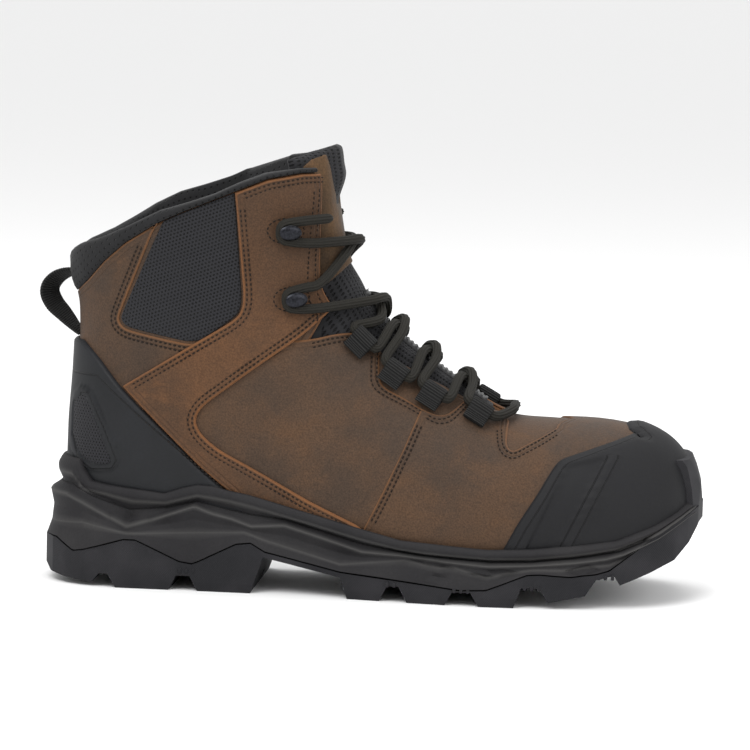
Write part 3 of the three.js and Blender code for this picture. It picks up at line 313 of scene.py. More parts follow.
def shrunk(pattern, distance):
    # the same outline, moved inwards on the last by a distance in millimetres
    turn, angle = pattern[:, 0], pattern[:, 1]
    along = lastPoint(*np.roll(pattern, -1, 0).T) - lastPoint(*np.roll(pattern, 1, 0).T)
    along /= np.maximum(np.linalg.norm(along, axis=1, keepdims=True), 1e-9)
    inward = np.cross(lastNormal(turn, angle), along) * distance
    perTurn = (lastPoint(turn + .01, angle) - lastPoint(turn - .01, angle)) / .02
    perAngle = (lastPoint(turn, angle + .01) - lastPoint(turn, angle - .01)) / .02
    aa, bb, ab = (perTurn ** 2).sum(1), (perAngle ** 2).sum(1), (perTurn * perAngle).sum(1)
    at, ap = (inward * perTurn).sum(1), (inward * perAngle).sum(1)
    scale = np.maximum(aa * bb - ab ** 2, 1e-3)
    moved = np.stack([(at * bb - ap * ab) / scale, (ap * aa - at * ab) / scale], 1)
    area = lambda p: abs(np.sum(p[:, 0] * np.roll(p[:, 1], -1) - p[:, 1] * np.roll(p[:, 0], -1)))
    inner, outer = pattern + moved, pattern - moved
    return inner if area(inner) < area(outer) else outer


def sliced(pattern, steps, rings=(.4, 1.1)):
    # the flat pattern of a panel with a narrow border, cut across in both directions
    pattern = np.asarray(pattern, float)
    spots = lastPoint(pattern[:, 0], pattern[:, 1])
    gaps = np.linalg.norm(spots - np.roll(spots, 1, 0), axis=1)
    seam = np.linalg.norm(pattern - np.roll(pattern, 1, 0), axis=1) > 3
    pattern = pattern[(gaps > .3) | seam]
    bm = bmesh.new()
    outlines = [pattern] + [shrunk(pattern, ring) for ring in rings]
    loops = [[bm.verts.new((turn, angle, 0)) for turn, angle in outline] for outline in outlines]
    for outer, inner in zip(loops[:-1], loops[1:]):
        for i in range(len(outer)):
            bm.faces.new((outer[i - 1], outer[i], inner[i], inner[i - 1]))
    bm.faces.new(loops[-1])
    bmesh.ops.recalc_face_normals(bm, faces=bm.faces[:])
    for axis, step in enumerate(steps):
        low, high = pattern[:, axis].min(), pattern[:, axis].max()
        for place in np.arange(low + step * .5, high, step):
            at, normal = [0, 0, 0], [0, 0, 0]
            at[axis], normal[axis] = place, 1
            bmesh.ops.bisect_plane(bm, geom=bm.verts[:] + bm.edges[:] + bm.faces[:], dist=1e-5,
                                   plane_co=at, plane_no=normal)
    return bm


def borderDistance(bm):
    # how far each vertex lies from the cut edge, in millimetres
    ends = np.array([[v.co for v in e.verts] for e in bm.edges if e.is_boundary], float)
    spots = np.concatenate([ends[:, 0] + (ends[:, 1] - ends[:, 0]) * t for t in (0, .25, .5, .75)])
    tree = kdtree.KDTree(len(spots))
    for i, p in enumerate(spots):
        tree.insert(p, i)
    tree.balance()
    return np.array([tree.find(v.co)[2] for v in bm.verts])


def makePanel(name, pattern, spec, material, relief=None, steps=(.07, .045)):
    # pattern holds turns and angles; the panel lies from spec["under"] to spec["over"] on the last
    bm = sliced(pattern, steps)
    flat = np.array([v.co[:2] for v in bm.verts])
    for v, p in zip(bm.verts, onLast(flat[:, 0], flat[:, 1], np.full(len(flat), spec["under"]))):
        v.co = p
    bmesh.ops.remove_doubles(bm, verts=bm.verts[:], dist=.02)  # the base's seam along the crest
    bm.normal_update()
    sample = max(bm.faces, key=lambda f: f.calc_area())
    heart = Vector((boot["length"] * .4, 0, boot["height"] * .35))
    if sample.normal.dot(sample.calc_center_median() - heart) < 0:
        bmesh.ops.reverse_faces(bm, faces=bm.faces[:])
    bm.normal_update()
    distance = borderDistance(bm)
    bm.verts.index_update()
    wall = spec["over"] - spec["under"]
    roundness = np.sqrt(1 - (1 - np.clip(distance / spec.get("round", .9), 0, 1)) ** 2)
    height = wall * np.maximum(roundness, .3)
    points = np.array([v.co for v in bm.verts])
    normals = np.array([v.normal for v in bm.verts])
    if relief is not None:
        height = height + relief(points, distance)
    keep = bm.verts.layers.int.new("keep")
    for i, v in enumerate(bm.verts):
        v[keep] = i
    inner = bm.faces[:]
    made = bmesh.ops.extrude_face_region(bm, geom=inner, use_keep_orig=True)["geom"]
    for v in made:
        if isinstance(v, bmesh.types.BMVert):
            i = v[keep]
            v.co = points[i] + normals[i] * height[i]
    order = [v[keep] for v in bm.verts]
    piece = finished(bm, name, material)
    addAttribute(piece, "edge", distance[order])
    print("panel", name, len(piece.data.polygons))
    return piece


# Sheets made from a grid: points is an array of rows and columns.
def gridPiece(name, points, material, uv=None, smooth=40, close=1e-3, fill=False, flip=False):
    rows, columns = points.shape[:2]
    bm = bmesh.new()
    bmesh.ops.create_grid(bm, x_segments=rows - 1, y_segments=columns - 1, size=.5)
    layer = bm.loops.layers.uv.new("weave") if uv is not None else None
    spot = {v: (round((v.co.x + .5) * (rows - 1)), round((v.co.y + .5) * (columns - 1))) for v in bm.verts}
    if layer is not None:
        for face in bm.faces:
            for loop in face.loops:
                loop[layer].uv = uv[spot[loop.vert]]
    for v, at in spot.items():
        v.co = points[at]
    bmesh.ops.remove_doubles(bm, verts=bm.verts[:], dist=close)
    if fill:
        bmesh.ops.holes_fill(bm, edges=[e for e in bm.edges if e.is_boundary], sides=0)
    bmesh.ops.recalc_face_normals(bm, faces=bm.faces[:])
    if flip:
        bmesh.ops.reverse_faces(bm, faces=bm.faces[:])
    return finished(bm, name, material, smooth)


def sewRows(bm, line, side, toward, offsets, lift, radius=4.0):
    # sewn rows beside a line of the side view, on the side where the point toward lies
    line = rounded(line, radius, .5)
    along = np.gradient(line, axis=0)
    for k in range(2):
        along[:, k] = np.convolve(np.pad(along[:, k], 3, mode="edge"), np.ones(7) / 7, "valid")
    across = np.stack([-along[:, 1], along[:, 0]], 1)
    across /= np.maximum(np.linalg.norm(across, axis=1, keepdims=True), 1e-9)
    across *= np.sign(((np.array(toward) - line) * across).sum())
    for offset in offsets:
        sewPath(bm, sideLine(line + across * offset, side), lift)


def sewPath(bm, pattern, lift):
    # evenly pitched stitches along turns and angles of the last
    gone = travelled(onLast(pattern[:, 0], pattern[:, 1], np.full(len(pattern), lift)))
    at = np.linspace(0, gone[-1], max(int(gone[-1] / sewing["pitch"]), 1) + 1)
    row = bmesh.new()  # a row of its own keeps the time short
    sewPoints(row, np.interp(at, gone, pattern[:, 0]), np.interp(at, gone, pattern[:, 1]), lift)
    mesh = bpy.data.meshes.new("row")
    row.to_mesh(mesh)
    row.free()
    bm.from_mesh(mesh)
    bpy.data.meshes.remove(mesh)


def sewPoints(bm, turn, angle, lift):
    points = onLast(turn, angle, np.full(len(turn), lift))
    normals = lastNormal(turn, angle)
    for a, b, n in zip(points[:-1], points[1:], (normals[:-1] + normals[1:]) / 2):
        gap = b - a
        far = np.linalg.norm(gap)
        if far < .4 * sewing["pitch"] or far > 2.2 * sewing["pitch"]:
            continue
        x = Vector(gap / far)
        z = (Vector(n) - x * Vector(n).dot(x)).normalized()
        y = z.cross(x)
        turned = Matrix((x, y, z)).transposed().to_4x4()
        half = sewing["thread"] / 2
        size = Matrix.Diagonal((far * sewing["share"] / 2, half, half, 1))
        bmesh.ops.create_uvsphere(bm, u_segments=6, v_segments=4, radius=1,
                                  matrix=Matrix.Translation((a + b) / 2) @ turned @ size)


# Shared effects, as node groups with named sockets.
def tint(red, green, blue):
    return tuple((c / 255 / 12.92) if c < 11 else ((c / 255 + .055) / 1.055) ** 2.4
                 for c in (red, green, blue)) + (1,)


def add(tree, kind, values=None, **settings):
    node = tree.nodes.new(kind)
    for key, value in settings.items():
        setattr(node, key, value)
    for key, value in (values or {}).items():
        socket = node.inputs[key]
        if isinstance(value, bpy.types.NodeSocket):
            tree.links.new(value, socket)
        else:
            socket.default_value = value
    return node


def read(tree, label):
    # a value that a mesh carries at its points
    return add(tree, "ShaderNodeAttribute", attribute_name=label).outputs["Fac"]


def maths(tree, operation, a, b=0.0, c=0.0, clamp=False):
    return add(tree, "ShaderNodeMath", {0: a, 1: b, 2: c}, operation=operation,
               use_clamp=clamp).outputs[0]


def ramp(tree, value, low, high, lowTo=0.0, highTo=1.0):
    return add(tree, "ShaderNodeMapRange", {"Value": value, "From Min": low, "From Max": high,
                                            "To Min": lowTo, "To Max": highTo},
               interpolation_type="SMOOTHSTEP").outputs["Result"]


def mixed(tree, share, first, second, blend="MIX"):
    node = add(tree, "ShaderNodeMix", data_type="RGBA", blend_type=blend)
    for socket, value in ((node.inputs[0], share), (node.inputs[6], first), (node.inputs[7], second)):
        if isinstance(value, bpy.types.NodeSocket):
            tree.links.new(value, socket)
        else:
            socket.default_value = value
    return node.outputs[2]


def newGroup(name, inputs, outputs):
    tree = bpy.data.node_groups.new(name, "ShaderNodeTree")
    for label, kind, value in inputs:
        socket = tree.interface.new_socket(label, in_out="INPUT", socket_type="NodeSocket" + kind)
        if value is not None:
            socket.default_value = value
    for label, kind in outputs:
        tree.interface.new_socket(label, in_out="OUTPUT", socket_type="NodeSocket" + kind)
    return tree, add(tree, "NodeGroupInput").outputs, add(tree, "NodeGroupOutput").inputs


def makeEdgeWear():
    # a mask that is strongest at a panel's cut edge, broken up by noise
    tree, given, out = newGroup("edgeWear", [("Vector", "Vector", None), ("Width", "Float", 1.2),
                                             ("Halo", "Float", 7.0)], [("Edge", "Float"), ("Halo", "Float")])
    edge = read(tree, "edge")
    rough = add(tree, "ShaderNodeTexNoise", {"Vector": given["Vector"], "Scale": 420, "Detail": 3})
    wide = add(tree, "ShaderNodeTexNoise", {"Vector": given["Vector"], "Scale": 70, "Detail": 3})
    moved = maths(tree, "ADD", edge, maths(tree, "MULTIPLY", rough.outputs["Fac"], .7))
    near = maths(tree, "DIVIDE", moved, given["Width"])
    tree.links.new(ramp(tree, near, 1.35, .6), out["Edge"])
    far = maths(tree, "DIVIDE", edge, given["Halo"])
    halo = maths(tree, "MULTIPLY", ramp(tree, far, 1, .1), ramp(tree, wide.outputs["Fac"], .3, .7))
    tree.links.new(halo, out["Halo"])
    return tree


def makeHideGrain():
    # the nap and pebble of waxed nubuck: two sizes of mottling and a height
    tree, given, out = newGroup("hideGrain", [("Vector", "Vector", None), ("Pebble", "Float", 1100.0)],
                                [(label, "Float") for label in ("Cloud", "Patch", "Speck", "Height")])
    v = given["Vector"]
    cloud = add(tree, "ShaderNodeTexNoise", {"Vector": v, "Scale": 24, "Detail": 5, "Roughness": .6})
    patch = add(tree, "ShaderNodeTexNoise", {"Vector": v, "Scale": 46, "Detail": 6, "Roughness": .65,
                                             "Distortion": .6})
    speck = add(tree, "ShaderNodeTexNoise", {"Vector": v, "Scale": 1300, "Detail": 2})
    cells = add(tree, "ShaderNodeTexVoronoi", {"Vector": v, "Scale": given["Pebble"]})
    long = add(tree, "ShaderNodeTexNoise", {"Vector": v, "Scale": 260, "Detail": 4, "Distortion": .3})
    tree.links.new(cloud.outputs["Fac"], out["Cloud"])
    tree.links.new(patch.outputs["Fac"], out["Patch"])
    tree.links.new(speck.outputs["Fac"], out["Speck"])
    height = maths(tree, "MULTIPLY_ADD", cells.outputs["Distance"], -.35, long.outputs["Fac"])
    tree.links.new(maths(tree, "MULTIPLY_ADD", speck.outputs["Fac"], .5, height), out["Height"])
    return tree


def makeDust():
    # a thin uneven film that lightens a dark surface a little
    tree, given, out = newGroup("dustFilm", [("Vector", "Vector", None), ("Scale", "Float", 30.0)],
                                [("Mask", "Float"), ("Fine", "Float")])
    broad = add(tree, "ShaderNodeTexNoise", {"Vector": given["Vector"], "Scale": given["Scale"], "Detail": 5})
    fine = add(tree, "ShaderNodeTexNoise", {"Vector": given["Vector"], "Scale": 900, "Detail": 2})
    tree.links.new(ramp(tree, broad.outputs["Fac"], .35, .75), out["Mask"])
    tree.links.new(fine.outputs["Fac"], out["Fine"])
    return tree


def makeWeave():
    # over-and-under threads along two directions of the given coordinates
    tree, given, out = newGroup("threadWeave", [("Vector", "Vector", None), ("Across", "Float", 900.0),
                                                ("Along", "Float", 900.0), ("Dot", "Float", .22),
                                                ("Rim", "Float", .36)],
                                [("Height", "Float"), ("Hole", "Float")])
    split = add(tree, "ShaderNodeSeparateXYZ", {0: given["Vector"]}).outputs
    u = maths(tree, "MULTIPLY", split[0], given["Across"])
    v = maths(tree, "MULTIPLY", split[1], given["Along"])
    row = maths(tree, "FLOOR", v)
    shifted = maths(tree, "MULTIPLY_ADD", row, .5, u)
    cu = maths(tree, "ABSOLUTE", maths(tree, "SUBTRACT", maths(tree, "FRACT", shifted), .5))
    cv = maths(tree, "ABSOLUTE", maths(tree, "SUBTRACT", maths(tree, "FRACT", v), .5))
    squares = [maths(tree, "MULTIPLY", c, c) for c in (cu, cv)]
    far = maths(tree, "SQRT", maths(tree, "ADD", *squares))
    tree.links.new(ramp(tree, far, maths(tree, "MULTIPLY", given["Dot"], .6), given["Rim"]), out["Height"])
    tree.links.new(ramp(tree, far, given["Rim"], given["Dot"]), out["Hole"])
    return tree


edgeWear, hideGrain, dustFilm, threadWeave = makeEdgeWear(), makeHideGrain(), makeDust(), makeWeave()


def newMaterial(name, **sockets):
    material = bpy.data.materials.new(name)
    material.use_nodes = True
    tree = material.node_tree
    shader = tree.nodes["Principled BSDF"]
    for label, value in sockets.items():
        shader.inputs[label.replace("_", " ")].default_value = value
    place = add(tree, "ShaderNodeTexCoord").outputs["Object"]
    return material, tree, shader, place


def placed(tree, group, values):
    node = add(tree, "ShaderNodeGroup", node_tree=group)
    for key, value in values.items():
        if isinstance(value, bpy.types.NodeSocket):
            tree.links.new(value, node.inputs[key])
        else:
            node.inputs[key].default_value = value
    return node.outputs


def bumped(tree, shader, height, strength, distance, normal=None):
    values = {"Height": height, "Strength": strength, "Distance": distance}
    if normal is not None:
        values["Normal"] = normal
    out = add(tree, "ShaderNodeBump", values).outputs["Normal"]
    tree.links.new(out, shader.inputs["Normal"])
    return out


def makeLeather(name, dark, middle, warm, edge, pebble=1100.0, wearWidth=1.2, grooves=(1.7, 3.8),
                paintedShade=None):
    material, tree, shader, place = newMaterial(name, Specular_IOR_Level=.2, Sheen_Weight=.05,
                                                Sheen_Roughness=.5)
    grain = placed(tree, hideGrain, {"Vector": place, "Pebble": pebble})
    wear = placed(tree, edgeWear, {"Vector": place, "Width": wearWidth})
    colour = mixed(tree, ramp(tree, grain["Cloud"], .36, .64), dark, middle)
    colour = mixed(tree, maths(tree, "MULTIPLY", ramp(tree, grain["Patch"], .48, .76), .5), colour, warm)
    colour = mixed(tree, maths(tree, "MULTIPLY", wear["Halo"], .4), colour, warm)
    # painted shade: from the first height up the colour goes towards the dark tone, darker towards the top
    if paintedShade:
        height = add(tree, "ShaderNodeSeparateXYZ", {0: place}).outputs["Z"]
        colour = mixed(tree, ramp(tree, height, paintedShade[0], paintedShade[1], 0, paintedShade[2]), colour, dark)
    speck = mixed(tree, grain["Speck"], (.35, .35, .35, 1), (1.65, 1.65, 1.65, 1))
    colour = mixed(tree, 1.0, colour, speck, "MULTIPLY")
    colour = mixed(tree, maths(tree, "MULTIPLY", wear["Edge"], .6), colour, edge)
    distance = read(tree, "edge")
    dips = []
    for at in grooves:
        off = maths(tree, "ABSOLUTE", maths(tree, "SUBTRACT", distance, at))
        dips.append(ramp(tree, off, .75, .1))
    sewn = maths(tree, "ADD", *dips) if len(dips) > 1 else dips[0]
    # painted shade in the stitch grooves: the colour goes towards the dark tone there
    colour = mixed(tree, maths(tree, "MULTIPLY", sewn, .38), colour, dark)
    tree.links.new(colour, shader.inputs["Base Color"])
    tree.links.new(ramp(tree, grain["Cloud"], .3, .7, .62, .8), shader.inputs["Roughness"])
    first = bumped(tree, shader, grain["Height"], .5, .0004)
    bumped(tree, shader, sewn, .55, -.0006, first)
    return material


leather = makeLeather("waxedLeather", tint(56, 43, 33), tint(70, 52, 38), tint(80, 56, 36), tint(108, 71, 40))
# the strap leather has painted shade towards its top
strapLeather = makeLeather("strapLeather", tint(62, 44, 30), tint(80, 55, 36), tint(96, 63, 36),
                           tint(118, 75, 40), paintedShade=(.128, .16, .7))
tongueLeather = makeLeather("tongueLeather", tint(58, 45, 32), tint(76, 57, 38), tint(96, 67, 38),
                            tint(104, 68, 38), grooves=(1.6, 30.0))


def makeMoulded(name, base, paleTone, roughness, bump=.35, edge=False, scale=30.0, fine=.00012,
                crease=.6):
    # rubber and foam with a thin film of dust and a fine matt skin; near-black painted shade along the
    # moulded crease lines, and paler marked ridges that are part wear, part painted highlight
    material, tree, shader, place = newMaterial(name, Specular_IOR_Level=.22)
    film = placed(tree, dustFilm, {"Vector": place, "Scale": scale})
    colour = mixed(tree, film["Mask"], base, paleTone)
    speck = mixed(tree, film["Fine"], (.8, .8, .8, 1), (1.2, 1.2, 1.2, 1))
    colour = mixed(tree, 1.0, colour, speck, "MULTIPLY")
    if edge:
        wear = placed(tree, edgeWear, {"Vector": place, "Width": 1.0})
        colour = mixed(tree, maths(tree, "MULTIPLY", wear["Edge"], .4), colour, paleTone)
    fields = [read(tree, label) for label in ("crease", "creaseB")]
    line = maths(tree, "MAXIMUM", *[ramp(tree, maths(tree, "ABSOLUTE", field), .45, .12) for field in fields])
    ridge = read(tree, "paleTone")
    # painted highlight mixed with wear: paler along the marked ridges
    colour = mixed(tree, maths(tree, "MULTIPLY", ridge, .55), colour, (.075, .073, .07, 1))
    # painted shade: near-black lines where the crease fields are near nought
    colour = mixed(tree, maths(tree, "MULTIPLY", line, crease), colour, (.003, .003, .003, 1))
    tree.links.new(colour, shader.inputs["Base Color"])
    dull = ramp(tree, film["Mask"], 0, 1, roughness - .06, roughness + .06)
    tree.links.new(dull, shader.inputs["Roughness"])
    first = bumped(tree, shader, film["Fine"], bump, fine)
    bumped(tree, shader, line, .8, -.0006, first)
    return material


capRubber = makeMoulded("capRubber", tint(18, 18, 20), tint(25, 25, 27), .68, edge=True)
midsoleFoam = makeMoulded("midsoleFoam", tint(26, 25, 27), tint(40, 39, 40), .76, bump=.6, fine=.0002)
counterPlastic = makeMoulded("counterPlastic", tint(22, 23, 25), tint(30, 31, 34), .6, bump=.2, edge=True)
print("moulded materials made")


def makeTread():
    # outsole rubber: fine slanting ribs on the lugs' sides, with painted shade in the rib valleys
    material, tree, shader, place = newMaterial("treadRubber", Specular_IOR_Level=.22, Roughness=.75)
    split = add(tree, "ShaderNodeSeparateXYZ", {0: place}).outputs
    film = placed(tree, dustFilm, {"Vector": place, "Scale": 40.0})
    slant = maths(tree, "MULTIPLY_ADD", split["Z"], .75, split["X"])
    ribs = maths(tree, "SINE", maths(tree, "MULTIPLY", slant, fullTurn / .0009))
    facing = add(tree, "ShaderNodeSeparateXYZ", {0: add(tree, "ShaderNodeNewGeometry").outputs["Normal"]})
    side = ramp(tree, maths(tree, "ABSOLUTE", facing.outputs["Y"]), .45, .8)
    colour = mixed(tree, film["Mask"], tint(29, 29, 32), tint(44, 43, 46))
    paintedShade = maths(tree, "MULTIPLY", maths(tree, "MULTIPLY_ADD", ribs, -.25, .25), side)
    # painted shade: darker in the valleys of the ribs
    colour = mixed(tree, paintedShade, colour, tint(12, 12, 13))
    tree.links.new(colour, shader.inputs["Base Color"])
    first = bumped(tree, shader, film["Fine"], .3, .0001)
    bumped(tree, shader, maths(tree, "MULTIPLY", ribs, side), .35, .00018, first)
    return material


def makeCloth(name, thread, holeShade, across, along, depth=.0006, dot=(.22, .36)):
    # a knitted or woven cloth on its own UV map, in millimetres; the holes carry a near-black colour as
    # painted shade
    material, tree, shader, place = newMaterial(name, Roughness=.82, Sheen_Weight=.05, Specular_IOR_Level=.2)
    own = add(tree, "ShaderNodeUVMap", uv_map="weave").outputs["UV"]
    knit = placed(tree, threadWeave, {"Vector": own, "Across": across, "Along": along,
                                     "Dot": dot[0], "Rim": dot[1]})
    film = placed(tree, dustFilm, {"Vector": place, "Scale": 90.0})
    # painted shade: the holes take the near-black colour
    colour = mixed(tree, knit["Hole"], thread, holeShade)
    colour = mixed(tree, maths(tree, "MULTIPLY", film["Mask"], .3), colour, tint(34, 34, 36))
    tree.links.new(colour, shader.inputs["Base Color"])
    bumped(tree, shader, knit["Height"], .9, depth)
    return material


tread = makeTread()
ankleCloth = makeCloth("ankleMesh", tint(34, 34, 37), tint(3, 3, 4), .58, .62, depth=.0009)
tongueCloth = makeCloth("tongueMesh", tint(32, 32, 34), tint(6, 6, 7), .55, .55, depth=.0008)
cuffCloth = makeCloth("cuffCloth", tint(27, 27, 28), tint(2, 2, 2), .31, .31, depth=.0008, dot=(.13, .21))
liningCloth = makeCloth("liningCloth", tint(22, 22, 23), tint(9, 9, 10), .8, .8, depth=.0004)


def makePlain(name, colour, other, roughness, scale, bump, metal=0.0, specular=.22, distance=.0002):
    material, tree, shader, place = newMaterial(name, Metallic=metal, Specular_IOR_Level=specular)
    noise = add(tree, "ShaderNodeTexNoise", {"Vector": place, "Scale": scale, "Detail": 4}).outputs["Fac"]
    tree.links.new(mixed(tree, ramp(tree, noise, .35, .65), colour, other), shader.inputs["Base Color"])
    tree.links.new(ramp(tree, noise, .3, .7, roughness - .07, roughness + .07), shader.inputs["Roughness"])
    bumped(tree, shader, noise, bump, distance)
    return material


def makeWebbing(name, dark, light, pitch):
    # cross ribs along the U of the weave map, in millimetres; the rib valleys go near black as painted shade
    material, tree, shader, place = newMaterial(name, Roughness=.78, Specular_IOR_Level=.22)
    own = add(tree, "ShaderNodeUVMap", uv_map="weave").outputs["UV"]
    long = add(tree, "ShaderNodeSeparateXYZ", {0: own}).outputs[0]
    wave = maths(tree, "SINE", maths(tree, "MULTIPLY", long, fullTurn / pitch))
    rib = ramp(tree, wave, -.6, .7)
    speck = add(tree, "ShaderNodeTexNoise", {"Vector": place, "Scale": 2400, "Detail": 2}).outputs["Fac"]
    # painted shade: the rib valleys go towards the near-black colour, the crests towards the lighter one
    colour = mixed(tree, maths(tree, "MULTIPLY", rib, ramp(tree, speck, .2, .7, .5, 1)), dark, light)
    tree.links.new(colour, shader.inputs["Base Color"])
    bumped(tree, shader, rib, .8, .0003)
    return material


webbing = makeWebbing("webbing", tint(9, 9, 9), tint(38, 38, 37), 1.05)
thread = makePlain("thread", tint(20, 16, 13), tint(32, 25, 20), .8, 3000, .3)
laceYarn = makePlain("laceYarn", tint(22, 21, 18), tint(35, 33, 28), .78, 2600, .6)
gunmetal = makePlain("gunmetal", tint(30, 31, 35), tint(42, 43, 48), .3, 900, .12, metal=.9, specular=.5)
stripRubber = makePlain("stripRubber", tint(16, 16, 17), tint(26, 26, 27), .45, 500, .15, specular=.32)
feltTop = makePlain("footbedFelt", tint(22, 22, 24), tint(32, 32, 34), .9, 900, .8)
print("materials made")


# Leather panels and moulded parts that follow the last.
def throatLine(turns, side, extra=0.0):
    turns = np.asarray(turns, float)
    centre = sectionAt(turns)[:, 9]
    return np.stack([turns, angleAtY(turns, centre - side * (throatHalf(turns) + extra))], 1)


def lowerLine(fromTurn, toTurn, side, drop=6.0):
    turns = np.linspace(fromTurn, toTurn, max(int(abs(toTurn - fromTurn) / .06), 2))
    return np.stack([turns, side * angleAtLine(lipLine, turns, drop, side)], 1)


def collarLine(fromAngle, toAngle, lift=0.0, line=leatherTop, low=7.0):
    angles = np.linspace(fromAngle, toAngle, max(int(abs(toAngle - fromAngle) / .04), 2))
    return np.stack([turnAtLine(line, angles, lift, low), angles], 1)


def troughs(lines, fadeIn=3.0, extra=None):
    # soft creases: start x z, end x z, width, depth, in millimetres
    def relief(points, distance):
        total = np.zeros(len(points))
        flat = points[:, [0, 2]]
        for x1, z1, x2, z2, width, depth in lines:
            a, b = np.array([x1, z1]), np.array([x2, z2])
            t = np.clip((flat - a) @ (b - a) / ((b - a) @ (b - a)), 0, 1)
            off = np.linalg.norm(flat - (a + t[:, None] * (b - a)), axis=1)
            total -= depth * np.exp(-(off / width) ** 2) * np.sin(np.pi * (.08 + .84 * t)) ** .7
        total *= np.clip(distance / fadeIn, 0, 1)
        if extra is not None:
            total += extra(points, distance)
        return total
    return relief


def soft(points, size, amount, seed=0.0):
    # slow unevenness of hide or cloth
    return np.array([noise.noise(Vector(p) / size + Vector((seed, seed, seed))) for p in points]) * amount


def hide(lines, size, amount, seed=0.0, fade=4):
    # creases, and the slow unevenness of the hide away from the cut edge
    return troughs(lines, extra=lambda p, d: soft(p, size, amount, seed) * np.clip(d / fade, 0, 1))


def layWeave(piece, toU, toV):
    # a weave map in millimetres from the piece's x and z
    layer = piece.data.uv_layers.new(name="weave")
    for loop in piece.data.loops:
        x, _, z = piece.data.vertices[loop.vertex_index].co
        layer.data[loop.index].uv = (1000 * (x * toU[0] + z * toU[1]), 1000 * (x * toV[0] + z * toV[1]))


def insideOf(points, polygon):
    # how far inside a convex polygon of the side view each point lies
    polygon = np.array(polygon, float)
    flat = points[:, [0, 2]]
    middle = polygon.mean(0)
    best = np.full(len(points), 1e9)
    for a, b in zip(polygon, np.roll(polygon, -1, 0)):
        n = np.array([-(b - a)[1], (b - a)[0]])
        n /= np.linalg.norm(n)
        n *= np.sign((middle - a) @ n)
        best = np.minimum(best, (flat - a) @ n)
    return best


def lineGap(points, line):
    # distance to a broken line of the side view
    dense = resample(line, 1.0)
    return np.min(np.linalg.norm(points[:, None, [0, 2]] - dense[None], axis=2), axis=1)


def step(value, low, high):
    t = np.clip((value - low) / (high - low), 0, 1)
    return t * t * (3 - 2 * t)


upperSpec = {"under": -2.6, "over": -.9, "round": 1.2}
topTurn = float(turnAtLine(leatherTop, np.array([angleAtY(np.array(12.0), np.array(-22.0))]), 0, 7)[0])
crestTurns = np.arange(-.985, 1.05, .1)
throatTurns = np.concatenate([[1.05], np.arange(1.2, topTurn - .05, .15)])
flare = 9 * np.exp(-((throatTurns - 5.5) / .42) ** 2)
outerThroat, innerThroat = throatLine(throatTurns, 1, flare), throatLine(throatTurns, -1, flare)
collar = collarLine(float(outerThroat[-1, 1]), fullTurn + float(innerThroat[-1, 1]))
innerBack = np.stack([innerThroat[::-1, 0], fullTurn + innerThroat[::-1, 1]], 1)
baseOutline = np.concatenate([
    np.stack([crestTurns, 0 * crestTurns], 1), [[1.05, 0]], outerThroat, collar, innerBack,
    [[1.05, fullTurn]], np.stack([crestTurns[::-1], 0 * crestTurns + fullTurn], 1)])
base = makePanel("upperBase", baseOutline, upperSpec, leather, relief=hide([], 26, .25),
                 steps=(.1, .055))
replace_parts(base, "upper")

vampSpec = {"under": -.9, "over": .15}
vampLines = [(196, 76, 214, 60, 6, .55), (204, 84, 226, 62, 5, .4), (231, 60, 222, 44, 5, .35),
             (184, 62, 200, 44, 7, .4), (210, 50, 226, 38, 6, .3)]


def vampSide(side):
    seam = onSide([(153.5, 27), (157.2, 35.1), (164.5, 50), (174.1, 71.7), (180.4, 87.6),
                   (180.9, 90)], side, 2)
    facingEdge = onSide([(181.5, 89.6), (188.9, 86.6), (193.6, 87.0), (198.9, 91.0), (202.0, 93.5)],
                        side, 4)
    startTurn = float(facingEdge[-1, 0])
    notch = onSide([(221.9, 83.2), (221.9, 73.2), (225, 71.1), (228.4, 73.0), (236.8, 77),
                    (244, 80.6)], side, 3)
    throat = throatLine(np.arange(startTurn - .1, float(notch[0, 0]) + .12, -.1), side)
    front = oneTurn(251, 83)
    return np.concatenate([lowerLine(-.72, float(seam[0, 0]), side)[:-1], seam, facingEdge, throat, notch,
                           [[front + .03, .12 * side]]]), front


outerVamp, frontTurn = vampSide(1)
innerVamp, _ = vampSide(-1)
makePanel("vamp", np.concatenate([outerVamp, [[frontTurn, 0]], innerVamp[::-1]]), vampSpec, leather,
          relief=hide(vampLines, 22, .3, 3), steps=(.07, .04))

quarterSpec = {"under": -.9, "over": -.3}
quarterLines = [(150, 112, 136, 92, 6, .5), (166, 90, 158, 66, 7, .4), (130, 100, 112, 82, 6, .35),
                (150, 76, 140, 56, 8, .35)]


def quarterPattern(side):
    facingEdge = onSide([(188, 86.2), (180, 90.4), (171.1, 95.2), (163.8, 98.5), (161.2, 102),
                         (160.4, 112.5)], side, 5)
    throat = onSide([(159.4, 118.4), (153.4, 121.6), (148.4, 123.4), (139.1, 122.6), (130, 120.2),
                     (118, 119)], side, 5)
    rear = onSide([(114, 118.5), (98, 108.5), (74, 90.5), (69, 82), (71.5, 72.5), (83, 63),
                   (104, 52.5), (128, 40.5), (151, 30)], side, 5)
    under = onSide([(162, 28), (168, 42), (176, 60), (184, 80)], side, 2)
    return np.concatenate([facingEdge, throat, rear, under])


for sideName, side in bothSides:
    makePanel("quarter_" + sideName, quarterPattern(side), quarterSpec, leather,
              relief=hide(quarterLines, 20, .3, 7))

backSpec = {"under": -.9, "over": 0}


def backPattern(side):
    border = onSide([(84, 109), (76.7, 116.8), (70.1, 116.5), (39.6, 122.2), (36.4, 125.8),
                     (37.1, 129.4), (51, 163)], side, 5)
    hidden = onSide([(20, 95), (30, 86), (52, 84), (82, 104)], side, 4)
    return border, hidden


